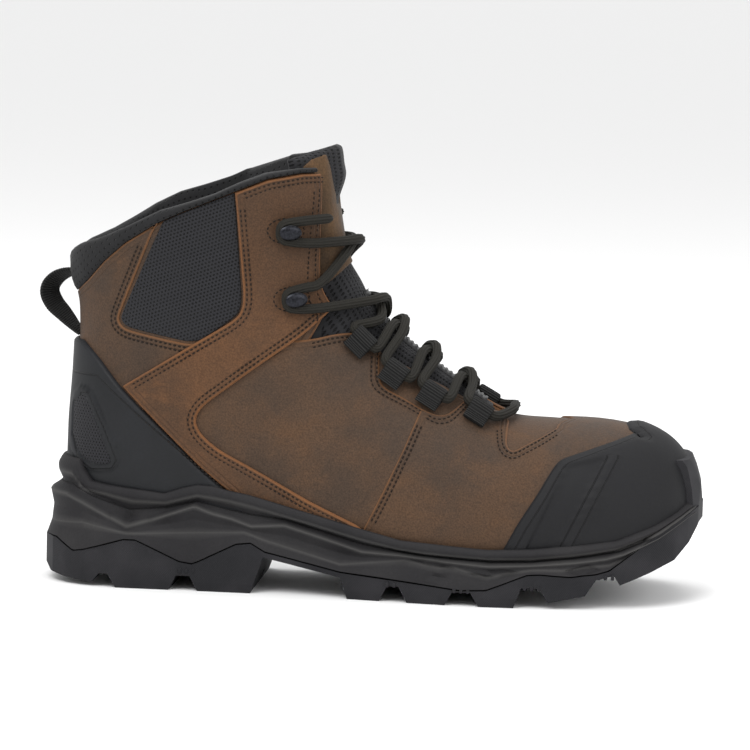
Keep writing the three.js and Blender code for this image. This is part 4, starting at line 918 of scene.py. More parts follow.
outerBorder, outerHidden = backPattern(1)
topAngle = oneAngle(55.8, 172.6, 1)
backAngles = np.linspace(float(outerHidden[0, 1]) + .1, fullTurn - float(outerHidden[0, 1]) - .1, 30)
heelLow = np.stack([turnAtLine([(-1, 95 / 208), (2, 95 / 208)], backAngles, 0, 7), backAngles], 1)
turned = lambda pattern: np.stack([pattern[::-1, 0], fullTurn - pattern[::-1, 1]], 1)
backOutline = np.concatenate([
    outerBorder, collarLine(topAngle, fullTurn - topAngle), turned(outerBorder), turned(outerHidden),
    heelLow[::-1], outerHidden])
backLines = [(22, 150, 40, 126, 4, .3), (26, 132, 16, 118, 4, .3)]
makePanel("backQuarter", backOutline, backSpec, leather, relief=hide(backLines, 18, .3, 5),
          steps=(.06, .045))

strapSpec = {"under": .2, "over": 1.9}
strapLines = [(104, 180, 120, 176, 5, .35), (108, 150, 128, 154, 6, .35), (112, 128, 132, 122, 6, .45),
              (72, 104, 84, 96, 6, .35), (60, 92, 70, 80, 5, .3), (96, 112, 106, 100, 5, .3)]
strapFront = [(139.2, 137.4), (137.5, 134), (124, 121.3), (100.8, 104.5), (78.4, 87.4), (75, 81.4),
              (77.2, 75), (86, 67.6), (106.5, 57.4), (130.4, 45)]


def strapPattern(side):
    upTo = np.arange(oneTurn(140.2, 140.5), topTurn - .1, .12)
    throat = throatLine(upTo[::-1], side)
    front = onSide(strapFront + [(156.6, 33.6), (159, 27)], side, 6)
    tuck = onSide([(156, 27.5), (130, 35.5), (110, 39), (97.5, 42)], side, 2)
    rear = onSide([(94, 46.2), (78.2, 58.6), (58.9, 77), (40.2, 95.2)], side, 1)
    up = onSide([(41, 95.9), (72.2, 115.8), (91.6, 127.8), (95.5, 131.8), (96.8, 138.3),
                 (92.6, 183)], side, 7)
    top = collarLine(oneAngle(92.2, 187.3, side), float(throat[0, 1]), -.5)
    return np.concatenate([throat, front, tuck, rear, up, top])


for sideName, side in bothSides:
    strap = makePanel("ankleStrap_" + sideName, strapPattern(side), strapSpec, strapLeather,
                      relief=hide(strapLines, 16, .35, 9, 3), steps=(.055, .04))
    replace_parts(strap, "ankle_strap_" + sideName)

meshSpec = {"under": -.9, "over": -.25, "round": .5}
meshFolds = [(50, 152, 92, 163, 1.8, .55), (46, 142, 94, 152, 2.2, .6), (44, 133, 95, 141, 2.0, .5),
             (56, 121, 92, 133, 2.4, .5), (56, 165, 88, 176, 1.8, .4), (42, 127, 70, 129, 1.6, .35)]


def meshPattern(side):
    border = onSide([(57, 171), (38.2, 129.4), (37.6, 126.6), (40.4, 123.4), (70.1, 117.7), (77, 118.2),
                     (92.4, 129.5), (95, 132.6), (95.9, 138), (92.4, 182)], side, 3)
    top = collarLine(oneAngle(91.8, 186.9, side), oneAngle(58.5, 173.9, side), -.3)
    return np.concatenate([border, top])


for sideName, side in bothSides:
    insert = makePanel("ankleMesh_" + sideName, meshPattern(side), meshSpec, ankleCloth,
                       relief=troughs(meshFolds, 4), steps=(.05, .035))
    layWeave(insert, (.94, .34), (-.34, .94))
    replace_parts(insert, "ankle_mesh_" + sideName)

capSpec = {"under": .3, "over": 2.5, "round": 1.0, "band": 4.6}
capRecess = [(250.3, 65.2), (268.7, 68.9), (249.3, 28.2), (231, 25)]
capRidge = [(269.4, 69), (274.8, 70.2), (254.6, 28.6), (250, 28.0)]


def capRelief(points, distance):
    band = -1.5 * (1 - np.clip(distance / capSpec["band"], 0, 1))
    lipStep = .3 * step(distance, capSpec["band"] - .4, capSpec["band"] + .3)
    onFlank = step(np.abs(points[:, 1] - 4), 22, 26)
    sunk = -1.1 * step(insideOf(points, capRecess), 0, .9) * onFlank
    ridge = .7 * step(insideOf(points, capRidge), 0, 1.2) * onFlank
    return band + lipStep + sunk + ridge


def capSide(side):
    rear = onSide([(219.5, 20), (221.9, 25.6), (228.7, 38.6), (237.9, 53.3), (241.3, 59.5),
                   (245.4, 66.1), (248.4, 68.4), (263.1, 73.2), (274.3, 76.6), (281, 78.6)], side, 3, 1.0)
    return np.concatenate([lowerLine(-.985, float(rear[0, 0]), side, 8)[:-1], rear])


crestFront, crestBack = oneTurn(283.5, 80), oneTurn(276.5, 83)
capTop = [[crestFront, .42], [crestBack - .02, .25], [crestBack, 0], [crestBack - .02, -.25],
          [crestFront, -.42]]
toeCap = makePanel("toeCap", np.concatenate([capSide(1), capTop, capSide(-1)[::-1]]), capSpec, capRubber,
                   relief=capRelief, steps=(.024, .021))
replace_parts(toeCap, "toe_cap")


def partPoints(piece):
    co = np.zeros(len(piece.data.vertices) * 3)
    piece.data.vertices.foreach_get("co", co)
    return co.reshape(-1, 3) * 1000 + np.array([heelShift, sideShift, 0])


def addCreases(piece, first, second):
    # fields of the surface that pass through nought along the moulded lines; the moulded material paints
    # near-black shade there
    points = partPoints(piece)
    addAttribute(piece, "crease", first(points))
    addAttribute(piece, "creaseB", second(points))


def ridgeField(points):
    # the narrow ridge between the sunk field and the rest of the cap
    table = np.array([(251.6, 29), (263, 52.4), (271.6, 69.5)])
    off = (points[:, 0] - np.interp(points[:, 2], table[:, 1], table[:, 0])) * .9
    return np.where(points[:, 2] > 71, 9, np.abs(off) - 2.3)


capLayer = np.zeros(len(toeCap.data.vertices), np.float32)
toeCap.data.attributes["edge"].data.foreach_get("value", capLayer)
# painted shade along the cap's narrow ridge and along the step at the inner edge of its band
addCreases(toeCap, ridgeField, lambda p: np.where(p[:, 2] > 26, capLayer - capSpec["band"] + .3, 9))


counterSpec = {"under": .3, "over": 2.5, "round": 1.1}
counterWindow = [(15.6, 86), (20.6, 90.2), (23.9, 88.4), (27.4, 79.9), (32, 70.5), (36.6, 61.6), (35.2, 58.3),
                 (29, 57.2), (23, 58.6), (18.2, 63.5), (15.4, 70.9)]


def counterOuter(side):
    return onSide([(100.5, 38.5), (98.5, 42.5), (93.6, 45.6), (78, 58), (58.7, 76.4), (39.4, 94.6),
                   (27.8, 107.4), (23.5, 111.2), (19.4, 114.6)], side, 3, 1.2)


def counterRelief(points, distance):
    flank = step(np.abs(points[:, 1]), 12, 16)
    upper = points[:, 2] > 50
    edgeLip = -.35 * (1 - np.clip(distance / 1.6, 0, 1))
    lines = [(26.5, 94.6, 24.2, 92.3), (24.2, 92.3, 33.5, 77), (33.5, 77, 46.1, 60), (31, 95, 55, 70)]
    mark = troughs([(a, b, c, d, .7, .3) for a, b, c, d in lines], 1)(points, distance)
    gap = lineGap(points, counterWindow + counterWindow[:1])
    inside = insideOf(points, counterWindow)
    raised = .45 * step(gap, 3.4, 2.5) - .45 * np.exp(-((gap - 3.6) / .5) ** 2)
    raised = np.where(inside > 0, -.9 * step(inside, 0, .7) + .45 * (1 - step(inside, 0, .7)), raised)
    groove = -.3 * np.exp(-(lineGap(points, [(29, 97.7), (59.7, 73), (79, 58), (92.6, 46.7)]) / .5) ** 2)
    return edgeLip + (mark + raised * upper + groove) * flank


counterEdge = counterOuter(1)
counterTopAngle = float(counterEdge[-1, 1])
topAngles = np.linspace(counterTopAngle + .06, fullTurn - counterTopAngle - .06, 30)
counterTop = np.stack([turnAtLine([(-1, .553), (2, .553)], topAngles, 0, 7), topAngles], 1)
lowAngles = np.linspace(float(onSide([(60, 42), (59, 42)], 1)[0, 1]), math.pi, 26)
lowAngles = np.concatenate([lowAngles, fullTurn - lowAngles[-2::-1]])
counterLow = np.stack([turnAtLine(lipLine, lowAngles, -6, 5.0), lowAngles], 1)


counterOutline = np.concatenate([counterEdge, counterTop, turned(counterEdge), counterLow[::-1]])
counter = makePanel("heelCounter", counterOutline, counterSpec, counterPlastic,
                    relief=counterRelief, steps=(.045, .024))
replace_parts(counter, "heel_counter")
rimLine = [(18.5, 90.8), (23.9, 90.8), (30.8, 75.6), (38.6, 61.6), (35.4, 55.9), (24.7, 54.9),
           (17.6, 59), (14, 71)]
grooveTable = np.array([(27, 99.5), (59.7, 73), (79, 58), (94.6, 45)])
# painted shade along the sewn groove and round the window's rim
addCreases(counter, lambda p: (p[:, 2] - np.interp(p[:, 0], grooveTable[:, 0], grooveTable[:, 1])) * .77,
           lambda p: np.where(np.abs(p[:, 1]) > 9, insideOf(p, rimLine), -9))


windowSpec = {"under": 1.2, "over": 2.35, "round": .6}
for sideName, side in bothSides:
    rim = np.array(counterWindow + counterWindow[:1])
    pattern = onSide(rim, side, 1.5, 1.2)[:-1]
    insert = makePanel("counterMesh_" + sideName, pattern, windowSpec, ankleCloth, steps=(.09, .05))
    layWeave(insert, (1.15, 0), (0, 1.15))
    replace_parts(insert, "counter_mesh_" + sideName)


def makeLining():
    # dark cloth sheet on the inside of the upper, up to the collar
    share, along = np.linspace(0, 1, 70)[:, None], np.linspace(0, 1, 120)[None]
    turn = 1.4 + 11 * share + 0 * along
    for _ in range(3):
        outer, inner = (throatLine(turn[:, 0], k, .8)[:, 1][:, None] for k in (1, -1))
        angle = outer + (fullTurn + inner - outer) * along
        turn = 1.4 + (turnAtLine(leatherTop, angle, -.6, 7) - 1.4) * share
    sheets = [onLast(turn, angle, np.full(turn.shape, lift)) for lift in (-2.7, -3.2)]
    gridPiece("innerLining", closedSheet(*sheets), liningCloth, smooth=60, fill=True)


makeLining()
print("panels made")


soleSpec = {"heel": .143, "ball": .78, "heelPower": 2.3, "toePower": 2.5, "toeShift": .053, "front": .999}
soleRows = np.array([(.354, .35), (.363, .345), (.379, .336), (.418, .35), (.469, .394),
                     (.504, .456), (.496, .478)])


def soleEdges(share):
    share = np.asarray(share, float)
    s = soleSpec
    at = (share - s["heel"]) / (s["ball"] - s["heel"]) * (len(soleRows) - 1)
    half = betweenRows(soleRows, at) * boot["sole"]
    behind = np.clip((s["heel"] - share) / s["heel"], 0, 1)
    ahead = np.clip((share - s["ball"]) / (s["front"] - s["ball"]), 0, 1)
    around = (1 - behind ** s["heelPower"]) ** (1 / s["heelPower"])
    around = around * (1 - ahead ** s["toePower"]) ** (1 / s["toePower"])
    shift = s["toeShift"] * boot["sole"] * ahead
    return shift - half[:, 0] * around, shift + half[:, 1] * around


def soleOutline(count=230):
    # the midsole's outline seen from above, closer points at heel and toe, and the way inwards
    t = np.linspace(0, 1, count)
    share = (.55 * (1 - np.cos(math.pi * t)) / 2 + .45 * t) * soleSpec["front"]
    lateral, medial = soleEdges(share)
    lateral[0] = medial[0] = 0
    ring = np.concatenate([np.stack([share * boot["length"], lateral], 1),
                           np.stack([share * boot["length"], medial], 1)[-2:0:-1]])
    along = np.roll(ring, -1, 0) - np.roll(ring, 1, 0)
    inward = np.stack([-along[:, 1], along[:, 0]], 1)
    return ring, inward / np.linalg.norm(inward, axis=1, keepdims=True)


def depthToLast(ring, inward, z):
    # how far inwards from the outline the last stands at a height
    low, high = np.full(len(ring), -10.0), np.full(len(ring), 34.0)
    for _ in range(22):
        middle = (low + high) / 2
        p = ring + inward * middle[:, None]
        turn, angle = fromSide(p[:, 0], z, 1)
        s = sectionAt(turn)
        dx, dz = s[:, 0] - s[:, 2], s[:, 1] - s[:, 3]
        h = ((p[:, 0] - s[:, 2]) * dx + (z - s[:, 3]) * dz) / np.maximum(dx * dx + dz * dz, .01)
        within = (h > 0) & (h < 1) & (p[:, 1] > lastPoint(turn, angle)[:, 1])
        within &= p[:, 1] < lastPoint(turn, -angle)[:, 1]
        low, high = np.where(within, low, middle), np.where(within, middle, high)
    return high


beadLine = [(0, .25), (.048, .25), (.067, .216), (.102, .21), (.146, .196), (.197, .196), (.245, .217),
            (.293, .209), (.328, .198), (.414, .167), (.5, .135), (.554, .119), (.589, .114), (.688, .106),
            (.752, .108), (.815, .119), (.879, .135), (.939, .17), (.981, .209), (1, .22)]
grooveLine = [(0, .228), (.05, .226), (.083, .204), (.14, .175), (.197, .186), (.245, .205), (.293, .188),
              (.328, .178), (.379, .172), (.443, .147), (.5, .125), (.554, .115), (.589, .109), (.688, .101),
              (.752, .103), (.815, .114), (.879, .13), (.939, .165), (.981, .204), (1, .215)]
ridgeLine = [(0, .207), (.041, .205), (.07, .188), (.105, .162), (.137, .138), (.175, .156), (.21, .176),
             (.242, .194), (.268, .179), (.299, .168), (.328, .152), (.379, .16), (.443, .133), (.497, .109),
             (.554, .107), (.6, .1), (.688, .092), (.752, .096), (.815, .105), (.86, .114), (.889, .125),
             (.939, .158), (.981, .198), (1, .21)]
facetLine = [(0, .135), (.07, .144), (.137, .125), (.153, .125), (.232, .132), (.318, .138), (.347, .123),
             (.465, .077), (.561, .095), (.615, .082), (.634, .086), (.685, .065), (.717, .077), (.752, .086),
             (.799, .087), (.838, .096), (.866, .1), (.889, .115), (.939, .15), (.981, .19), (1, .2)]
outsoleTop = [(-.02, .103), (.025, .103), (.054, .078), (.07, .082), (.134, .111), (.153, .111), (.22, .066),
              (.239, .062), (.248, .067), (.306, .111), (.328, .115), (.35, .096), (.465, .06), (.525, .053),
              (.576, .046), (.646, .035), (.685, .038), (.71, .053), (.745, .075), (.764, .077), (.809, .073),
              (.847, .08), (.866, .088), (.889, .114), (.927, .158), (.981, .207), (1.02, .24)]
rimWall = 4.2
guardSpec = {"half": 18.0, "back": 5.0, "from": 296, "run": 10}
forefootRecesses = [
    [(175, 21.6), (190, 21.4), (201, 17.4), (188, 17.4)],
    [(199, 14.8), (210.8, 15.8), (220, 14), (211, 12.3)],
    [(182, 12.6), (191.6, 14.6), (200, 12.2), (191, 10.5)],
    [(212.8, 17.6), (221.9, 18.2), (231, 16.8), (222, 14)],
    [(251, 17.9), (262, 21.2), (269.4, 18.8), (259, 15.4)]]


def makeMidsole():
    ring, inward = soleOutline()
    x = ring[:, 0]
    lip, bead, groove = (alongLine(line, x) for line in (lipLine, beadLine, grooveLine))
    ridge, facet, bottom = (alongLine(line, x) for line in (ridgeLine, facetLine, outsoleTop))
    toe = np.clip((x - guardSpec["from"]) / guardSpec["run"], 0, 1)
    toe *= np.clip((guardSpec["half"] - np.abs(ring[:, 1] - toeTip["y"])) / 2 + .5, 0, 1)

    def level(z, fill, proud):
        depth = depthToLast(ring, inward, z) if fill < 1 else 0
        return np.stack([depth * (1 - fill) - proud + guardSpec["back"] * toe, z], 1)

    # from the outsole up over the facets and the bead, and down inside
    levels = [level(bottom + .35, 1, -.4), level(facet, 1, -2.6), level((facet + ridge) / 2, .9, -1.0),
              level(ridge, .75, 1.9), level((ridge + groove) / 2, .64, -.2), level(groove, .5, -1.2),
              level(bead, .3, rimWall - 1.2), level(lip * .45 + bead * .55, .2, rimWall + .1),
              level(lip - .5, .05, rimWall - .1), level(lip, 0, rimWall - .9), level(lip - .25, 0, 1.2),
              level(lip - .9, 0, .1), level(lip - 7, 0, .1)]
    inner = np.stack([np.full(len(x), 15.0), bottom + .35], 1)
    profile = np.stack(levels + [inner], 1)
    closed = np.concatenate([profile[:, -1:], profile, profile[:, :2]], 1)
    rows = []
    for k in range(1, closed.shape[1] - 1):
        before, corner, after = closed[:, k - 1], closed[:, k], closed[:, k + 1]
        inLength = np.linalg.norm(corner - before, axis=1, keepdims=True)
        outLength = np.linalg.norm(after - corner, axis=1, keepdims=True)
        corners = 1.3 if k > 7 else .55
        near, far = np.minimum(corners, .4 * inLength), np.minimum(corners, .4 * outLength)
        start = corner + (before - corner) * near / np.maximum(inLength, .01)
        end = corner + (after - corner) * far / np.maximum(outLength, .01)
        for t in (0, .33, .67, 1):
            rows.append((1 - t) ** 2 * start + 2 * t * (1 - t) * corner + t * t * end)
    rows.append(rows[0])
    rows = np.stack(rows, 1)
    for _ in range(2):
        gaps = np.linalg.norm(np.diff(rows, axis=1), axis=2).mean(0)
        split = [k + 1 for k in range(1, 26) if gaps[k] > 1.2]
        middles = np.stack([(rows[:, k - 1] + rows[:, k]) / 2 for k in split], 1)
        rows = np.insert(rows, split, middles, axis=1)
    places = np.stack([np.repeat(x[:, None], rows.shape[1], 1), 0 * rows[..., 1], rows[..., 1]], 2)
    for shape in forefootRecesses:
        inside = insideOf(places.reshape(-1, 3), shape).reshape(rows.shape[:2])
        rows[..., 0] += 1.3 * step(inside, -.3, 1.0) * (rows[..., 0] < 3)
    xy = ring[:, None] + inward[:, None] * rows[..., :1]
    points = np.concatenate([xy, rows[..., 1:]], 2)
    points = np.concatenate([points, points[:1]], 0)
    piece = gridPiece("midsoleCup", points, midsoleFoam, smooth=32)
    spots = partPoints(piece)
    ridgeGap, beadGap, facetGap = (np.abs(spots[:, 2] - alongLine(line, spots[:, 0]))
                                   for line in (ridgeLine, beadLine, facetLine))
    nearest = np.minimum(np.minimum(ridgeGap, beadGap), facetGap + .3)
    # the midsole's paler ridges, bead and facet edges: part wear, part painted highlight
    addAttribute(piece, "paleTone", np.clip(1 - nearest / 1.3, 0, 1))
    # painted shade along the groove under the bead
    addAttribute(piece, "crease", spots[:, 2] - alongLine(grooveLine, spots[:, 0]))
    addAttribute(piece, "creaseB", np.full(len(spots), 9.0))
    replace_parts(piece, "midsole")


makeMidsole()


def makeOutsole():
    # the CAD's tread, merged, with its edges broken
    bm = bmesh.new()
    bm.from_mesh(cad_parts["outsole"].data)
    bmesh.ops.remove_doubles(bm, verts=bm.verts[:], dist=1e-6)
    bmesh.ops.dissolve_limit(bm, angle_limit=math.radians(1.5), verts=bm.verts[:], edges=bm.edges[:])
    for v in bm.verts:
        v.co = v.co * 1000 + Vector((heelShift, sideShift, 0))
    piece = finished(bm, "outsoleTread", tread, 30)
    bevel = piece.modifiers.new("softEdges", "BEVEL")
    bevel.width, bevel.segments = .0005, 2
    bevel.limit_method, bevel.angle_limit = "ANGLE", math.radians(35)
    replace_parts(piece, "outsole")


makeOutsole()

nubSpec = {"gaps": ((72.7, 9.6), (171.9, 8.2), (203.5, 7.3), (236.3, 9.7), (270.3, 15.2)),
           "wide": 1.5, "tall": 2.4, "deep": 5.0, "step": 3.2, "inset": 3.2}


def makeNubs():
    # three small blocks in the roof of each gap between the lugs
    bm = bmesh.new()
    for x, z in nubSpec["gaps"]:
        edges = soleEdges(np.array([x / boot["length"]]))
        for y in (float(edges[0][0]) + nubSpec["inset"], float(edges[1][0]) - nubSpec["inset"]):
            for k in (-1, 0, 1):
                size = Matrix.Diagonal((nubSpec["wide"], nubSpec["deep"], nubSpec["tall"], 1))
                place = Matrix.Translation((x + k * nubSpec["step"], y, z))
                bmesh.ops.create_cube(bm, size=1, matrix=place @ size)
    bmesh.ops.bevel(bm, geom=bm.edges[:], offset=.35, segments=2, profile=.5, affect="EDGES", material=-1)
    finished(bm, "lugNubs", tread, 40)


makeNubs()

# the roll runs over the collar from outside; the skirt goes down inside the upper and comes back up
cuffSpec = {"front": 12.2, "gap": .5, "middle": -3.4, "wrinkle": .55, "fill": .6,
            "roll": ((0, .1), (.1, 1.0), (.25, 1.4), (.45, 1.6), (.65, 1.5), (.8, 1.2), (.92, .5), (1, -.7),
                     (1.04, -2.4), (1.04, -4.2), (1, -6), (.92, -7.2), (.8, -7.9)),
            "skirt": ((0, -8), (6, -8), (12, -8), (18, -8), (24, -8), (29, -7.8), (30, -6), (30, -4),
                      (29, -3.1), (20, -3), (10, -3), (2, -3), (0, -2.8), (0, -1.2))}


def makeCuff():
    front = np.array([cuffSpec["front"]])
    outer, inner = (float(throatLine(front, side, cuffSpec["gap"])[0, 1]) for side in (1, -1))
    angles = np.linspace(outer, fullTurn + inner, 260)
    low = turnAtLine(leatherTop, angles, .3, 7)
    high = turnAtLine(cuffTop, angles, -.4, 7)
    height = np.maximum(lastPoint(high, angles)[:, 2] - lastPoint(low, angles)[:, 2], 1)
    perTurn = height / (high - low)
    rows = [(low + (high - low) * s, np.full(len(angles), lift)) for s, lift in cuffSpec["roll"]]
    rows += [(low - down / perTurn, np.full(len(angles), lift)) for down, lift in cuffSpec["skirt"]]
    rows.append(rows[0])
    turns, lifts = (np.stack([r[k] for r in rows], 1) for k in (0, 1))
    ends = np.minimum(np.arange(len(angles)), np.arange(len(angles))[::-1])
    shrink = np.sqrt(np.clip(1 - (1 - ends / 3.0) ** 2, .05, 1)) * (ends < 3) + (ends >= 3)
    lifts = cuffSpec["middle"] + (lifts - cuffSpec["middle"]) * shrink[:, None]
    points = onLast(turns, acrossTurns(angles, turns.shape[1]), lifts)
    wrinkle = np.array([noise.noise(Vector((p[0] / 9, p[1] / 9, p[2] / 5))) for p in points.reshape(-1, 3)])
    onRoll = np.zeros(turns.shape[1])
    onRoll[1:12] = 1
    wrinkle = wrinkle.reshape(turns.shape) * cuffSpec["wrinkle"] * onRoll
    points = points + lastNormal(turns, angles[:, None] + 0 * turns) * wrinkle[..., None]
    around = travelled(points[:, 4])
    across = np.cumsum(np.linalg.norm(np.diff(points, axis=1, prepend=points[:, :1]), axis=2), axis=1)
    uv = np.stack(np.broadcast_arrays(around[:, None], across), 2)
    piece = gridPiece("paddedCuff", points, cuffCloth, uv=uv, smooth=0, fill=True)
    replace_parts(piece, "cuff")


makeCuff()

tongueSpec = {"wall": 5.0, "crest": -.6, "under": -3.8, "from": .85, "to": 12.85, "roll": 5.5,
              "wing": 9.0, "fill": .5}


def tongueLift(turn, y):
    # the tongue's outer side: level in the throat, dipping under the eyestays
    opened = throatHalf(turn)
    inner = np.maximum(opened - 7.5, opened / 3)
    return tongueSpec["under"] + (np.where(turn < 1.35, tongueSpec["under"], tongueSpec["crest"])
                                  - tongueSpec["under"]) * step(np.abs(y), opened - 1.0, inner)


def crestPoint(turn, y, lift):
    return onLast(turn, angleAtY(turn, sectionAt(turn)[..., 9] + y), lift)


def makeTongue():
    turns = np.linspace(tongueSpec["from"], tongueSpec["to"], 170)
    widest = np.minimum(throatHalf(turns) + tongueSpec["wing"], .86 * sectionAt(turns)[:, 4])
    ring = np.linspace(0, fullTurn, 57)
    outer = np.sin(ring) >= 0
    y = np.cos(ring)[None] * widest[:, None]
    edge = np.sqrt(np.clip(1 - np.abs(np.cos(ring)) ** 8, 0, 1))[None]
    t = acrossTurns(turns, len(ring))
    top = tongueLift(t, y)
    thick = tongueSpec["wall"] * edge * np.clip((tongueSpec["to"] - t) / .25, .05, 1) ** .5
    roll = tongueSpec["roll"] * step(t, 9.9, 11.4) * (1 - step(np.abs(y), 7, 13)) * outer
    puff = .9 * step(t, 11.6, 12.5) + roll
    middle = top - tongueSpec["wall"] / 2
    lift = np.where(outer[None], middle + thick / 2 + puff, middle - thick / 2 - puff)
    points = crestPoint(t, y, lift)
    uv = np.stack(np.broadcast_arrays(travelled(points[:, 14])[:, None], np.cos(ring)[None] * 25), 2)
    piece = gridPiece("tongueBody", points, tongueCloth, uv=uv, smooth=0, fill=True)
    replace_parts(piece, "tongue")


makeTongue()

skinSpec = {"from": 6.95, "to": 12.5, "rise": .12, "wall": 1.0, "dip": 4.0,
            "widths": ((6.9, 20.5), (10.8, 20.5), (11.6, 27), (12.2, 27), (12.5, 22))}


def makeTongueLeather():
    # a sheet of leather on the tongue, sunk in its middle near the top
    turns = np.linspace(skinSpec["from"], skinSpec["to"], 90)
    share = np.linspace(-1, 1, 41)
    half = np.interp(turns, *np.transpose(skinSpec["widths"]))[:, None]
    y = share[None] * half
    t = acrossTurns(turns, len(share))
    low = tongueLift(t, y) + skinSpec["rise"]
    low = low - skinSpec["dip"] * step(t, 9.7, 10.6) * (1 - step(np.abs(y), 6, 9))
    ends = np.minimum(t - skinSpec["from"], skinSpec["to"] - t) * 12
    edge = np.minimum(ends, (1 - np.abs(share))[None] * half)
    high = low + skinSpec["wall"] * np.sqrt(1 - (1 - np.clip(edge / 1.2, .1, 1)) ** 2)
    points = closedSheet(crestPoint(t, y, high), crestPoint(t, y, low))
    piece = gridPiece("tongueLeather", points, tongueLeather, smooth=50, fill=True)
    addAttribute(piece, "edge", np.full(len(piece.data.vertices), 8.0))  # no light border on this piece


makeTongueLeather()
print("sole, cuff and tongue made")


# Webbing, hooks, lace and sewing.
webSpec = {"width": 11.0, "wall": 1.3, "tail": 7.0, "lift": .5, "eye": 2.4, "ribs": .13, "pitch": 1.05,
           "ends": ((206.5, 82.5), (184.2, 89.5), (165.6, 99.2), (148.3, 113.6))}
hookSpec = {"spots": ((118.9, 138.6), (115.6, 170.9)), "foot": 4.2, "neck": 1.5, "cap": 3.4, "stretch": 1.5,
            "footWall": .9, "room": 5.0, "capWall": 1.7, "base": 1.9}
# crossings at the hooks: height of the last's crest, lifts before, extra at the middle
laceSpec = {"radius": 2.35, "over": 6.1, "under": 2.4, "ribs": 9, "rib": .5, "step": 1.15, "end": 4,
            "upper": ((134.6, 2.8, 0), (164.0, 3.6, 1.4)), "foot": .93}
loopFrames, hookFrames = {1: [], -1: []}, {1: [], -1: []}


def frameAt(turn, angle, side):
    # origin on the last; away from the throat, along to the collar, and out
    origin, out = (f(np.array([turn]), np.array([angle]))[0] for f in (lastPoint, lastNormal))
    along = lastPoint(turn + .05, angle) - lastPoint(turn - .05, angle)
    along -= out * (along @ out)
    along /= np.linalg.norm(along)
    away = np.cross(along, out) * -side
    return {"origin": origin, "out": out, "along": along, "away": away, "turn": turn, "angle": angle}


def inFrame(f, away, along, out):
    away, along, out = np.broadcast_arrays(np.asarray(away, float), along, out)
    steps = ((away, f["away"]), (along, f["along"]), (out, f["out"]))
    return f["origin"] + sum(far[..., None] * way for far, way in steps)


bandRing = np.array([
    (-1, -.3), (-1, .3), (-.93, .85), (-.8, 1), (-.4, 1.08), (0, 1.1), (.4, 1.08), (.8, 1), (.93, .85),
    (1, .3), (1, -.3), (.93, -.85), (.8, -1), (.4, -1.05), (0, -1.05), (-.4, -1.05), (-.8, -1),
    (-.93, -.85), (-1, -.3)])


def ribbon(name, centre, across, normal, spec):
    # webbing along a centre line: fine cross ribs and rounded edges
    width, wall, ribs, pitch = (spec[key] for key in ("width", "wall", "ribs", "pitch"))
    ring, steps = bandRing, travelled(centre)
    wave = ribs * np.sin(fullTurn * steps / pitch)
    points = (centre[:, None] + across[:, None] * ring[None, :, :1] * width / 2
              + normal[:, None] * (ring[None, :, 1:] * (wall / 2 + wave[:, None, None])))
    uv = np.stack(np.broadcast_arrays(steps[:, None], travelled(ring)[None] * width / 2), 2)
    return gridPiece(name, points, webbing, uv=uv, smooth=60, fill=True)


def smoothPath(points, step=.35):
    # a centripetal curve through points, evenly stepped
    points = np.asarray(points, float)
    p = np.concatenate([[2 * points[0] - points[1]], points, [2 * points[-1] - points[-2]]])
    out = []
    for i in range(1, len(p) - 2):
        p0, p1, p2, p3 = p[i - 1:i + 3]
        pairs = ((p0, p1), (p1, p2), (p2, p3))
        t = np.cumsum([0] + [max(np.linalg.norm(b - a), .05) ** .5 for a, b in pairs])
        for u in np.linspace(t[1], t[2], 14, endpoint=False):
            a1 = (t[1] - u) / (t[1] - t[0]) * p0 + (u - t[0]) / (t[1] - t[0]) * p1
            a2 = (t[2] - u) / (t[2] - t[1]) * p1 + (u - t[1]) / (t[2] - t[1]) * p2
            a3 = (t[3] - u) / (t[3] - t[2]) * p2 + (u - t[2]) / (t[3] - t[2]) * p3
            b1 = (t[2] - u) / (t[2] - t[0]) * a1 + (u - t[0]) / (t[2] - t[0]) * a2
            b2 = (t[3] - u) / (t[3] - t[1]) * a2 + (u - t[1]) / (t[3] - t[1]) * a3
            out.append((t[2] - u) / (t[2] - t[1]) * b1 + (u - t[1]) / (t[2] - t[1]) * b2)
    out.append(points[-1])
    return resample(out, step)


def makeLaceLoop(number, spot, sideName, side):
    # one band: up from under the facing, round the lace and back down over itself
    turn, angle = (float(v) for v in fromSide(np.array(spot[0]), np.array(spot[1]), side))
    half, places, gone = webSpec["wall"] / 2, [lastPoint(turn, angle)], 0.0
    while gone < webSpec["tail"]:
        angle -= .008 * side
        places.append(lastPoint(turn, angle))
        gone += np.linalg.norm(places[-1] - places[-2])
    f = frameAt(turn, angle, side)
    loopFrames[side].append(f)
    offsets = [p - f["origin"] for p in places[::-1]]
    downs = resample([(p @ f["away"], p @ f["out"]) for p in offsets], 1.2)
    radius = webSpec["eye"] + half
    middle = webSpec["lift"] + webSpec["wall"] + webSpec["eye"]
    under = [(a, o + webSpec["lift"] + half) for a, o in downs[::-1]]
    bend = np.linspace(.35, fullTurn - 1.75, 15)
    eye = [(-radius * math.sin(t), middle - radius * math.cos(t)) for t in bend]
    slope = np.linspace(2.0, 0, len(downs) - 3)
    over = [(a + .4, o + webSpec["lift"] + half * 3.1 + s * s / 2) for (a, o), s in zip(downs[3:], slope)]
    over[-1] = (over[-1][0] + .6, over[-1][1] - .5)
    flat = np.array(under + eye + over)
    path = smoothPath(np.concatenate([flat, np.zeros((len(flat), 1))], 1), .25)[:, :2]
    centre = inFrame(f, path[:, 0], 0, path[:, 1])
    across = np.repeat(f["along"][None], len(centre), 0)
    normal = np.cross(across, directions(centre))
    piece = ribbon(f"laceLoop_{sideName}_{number}", centre, across, normal, webSpec)
    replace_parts(piece, f"lace_loop_{sideName}_{number}")


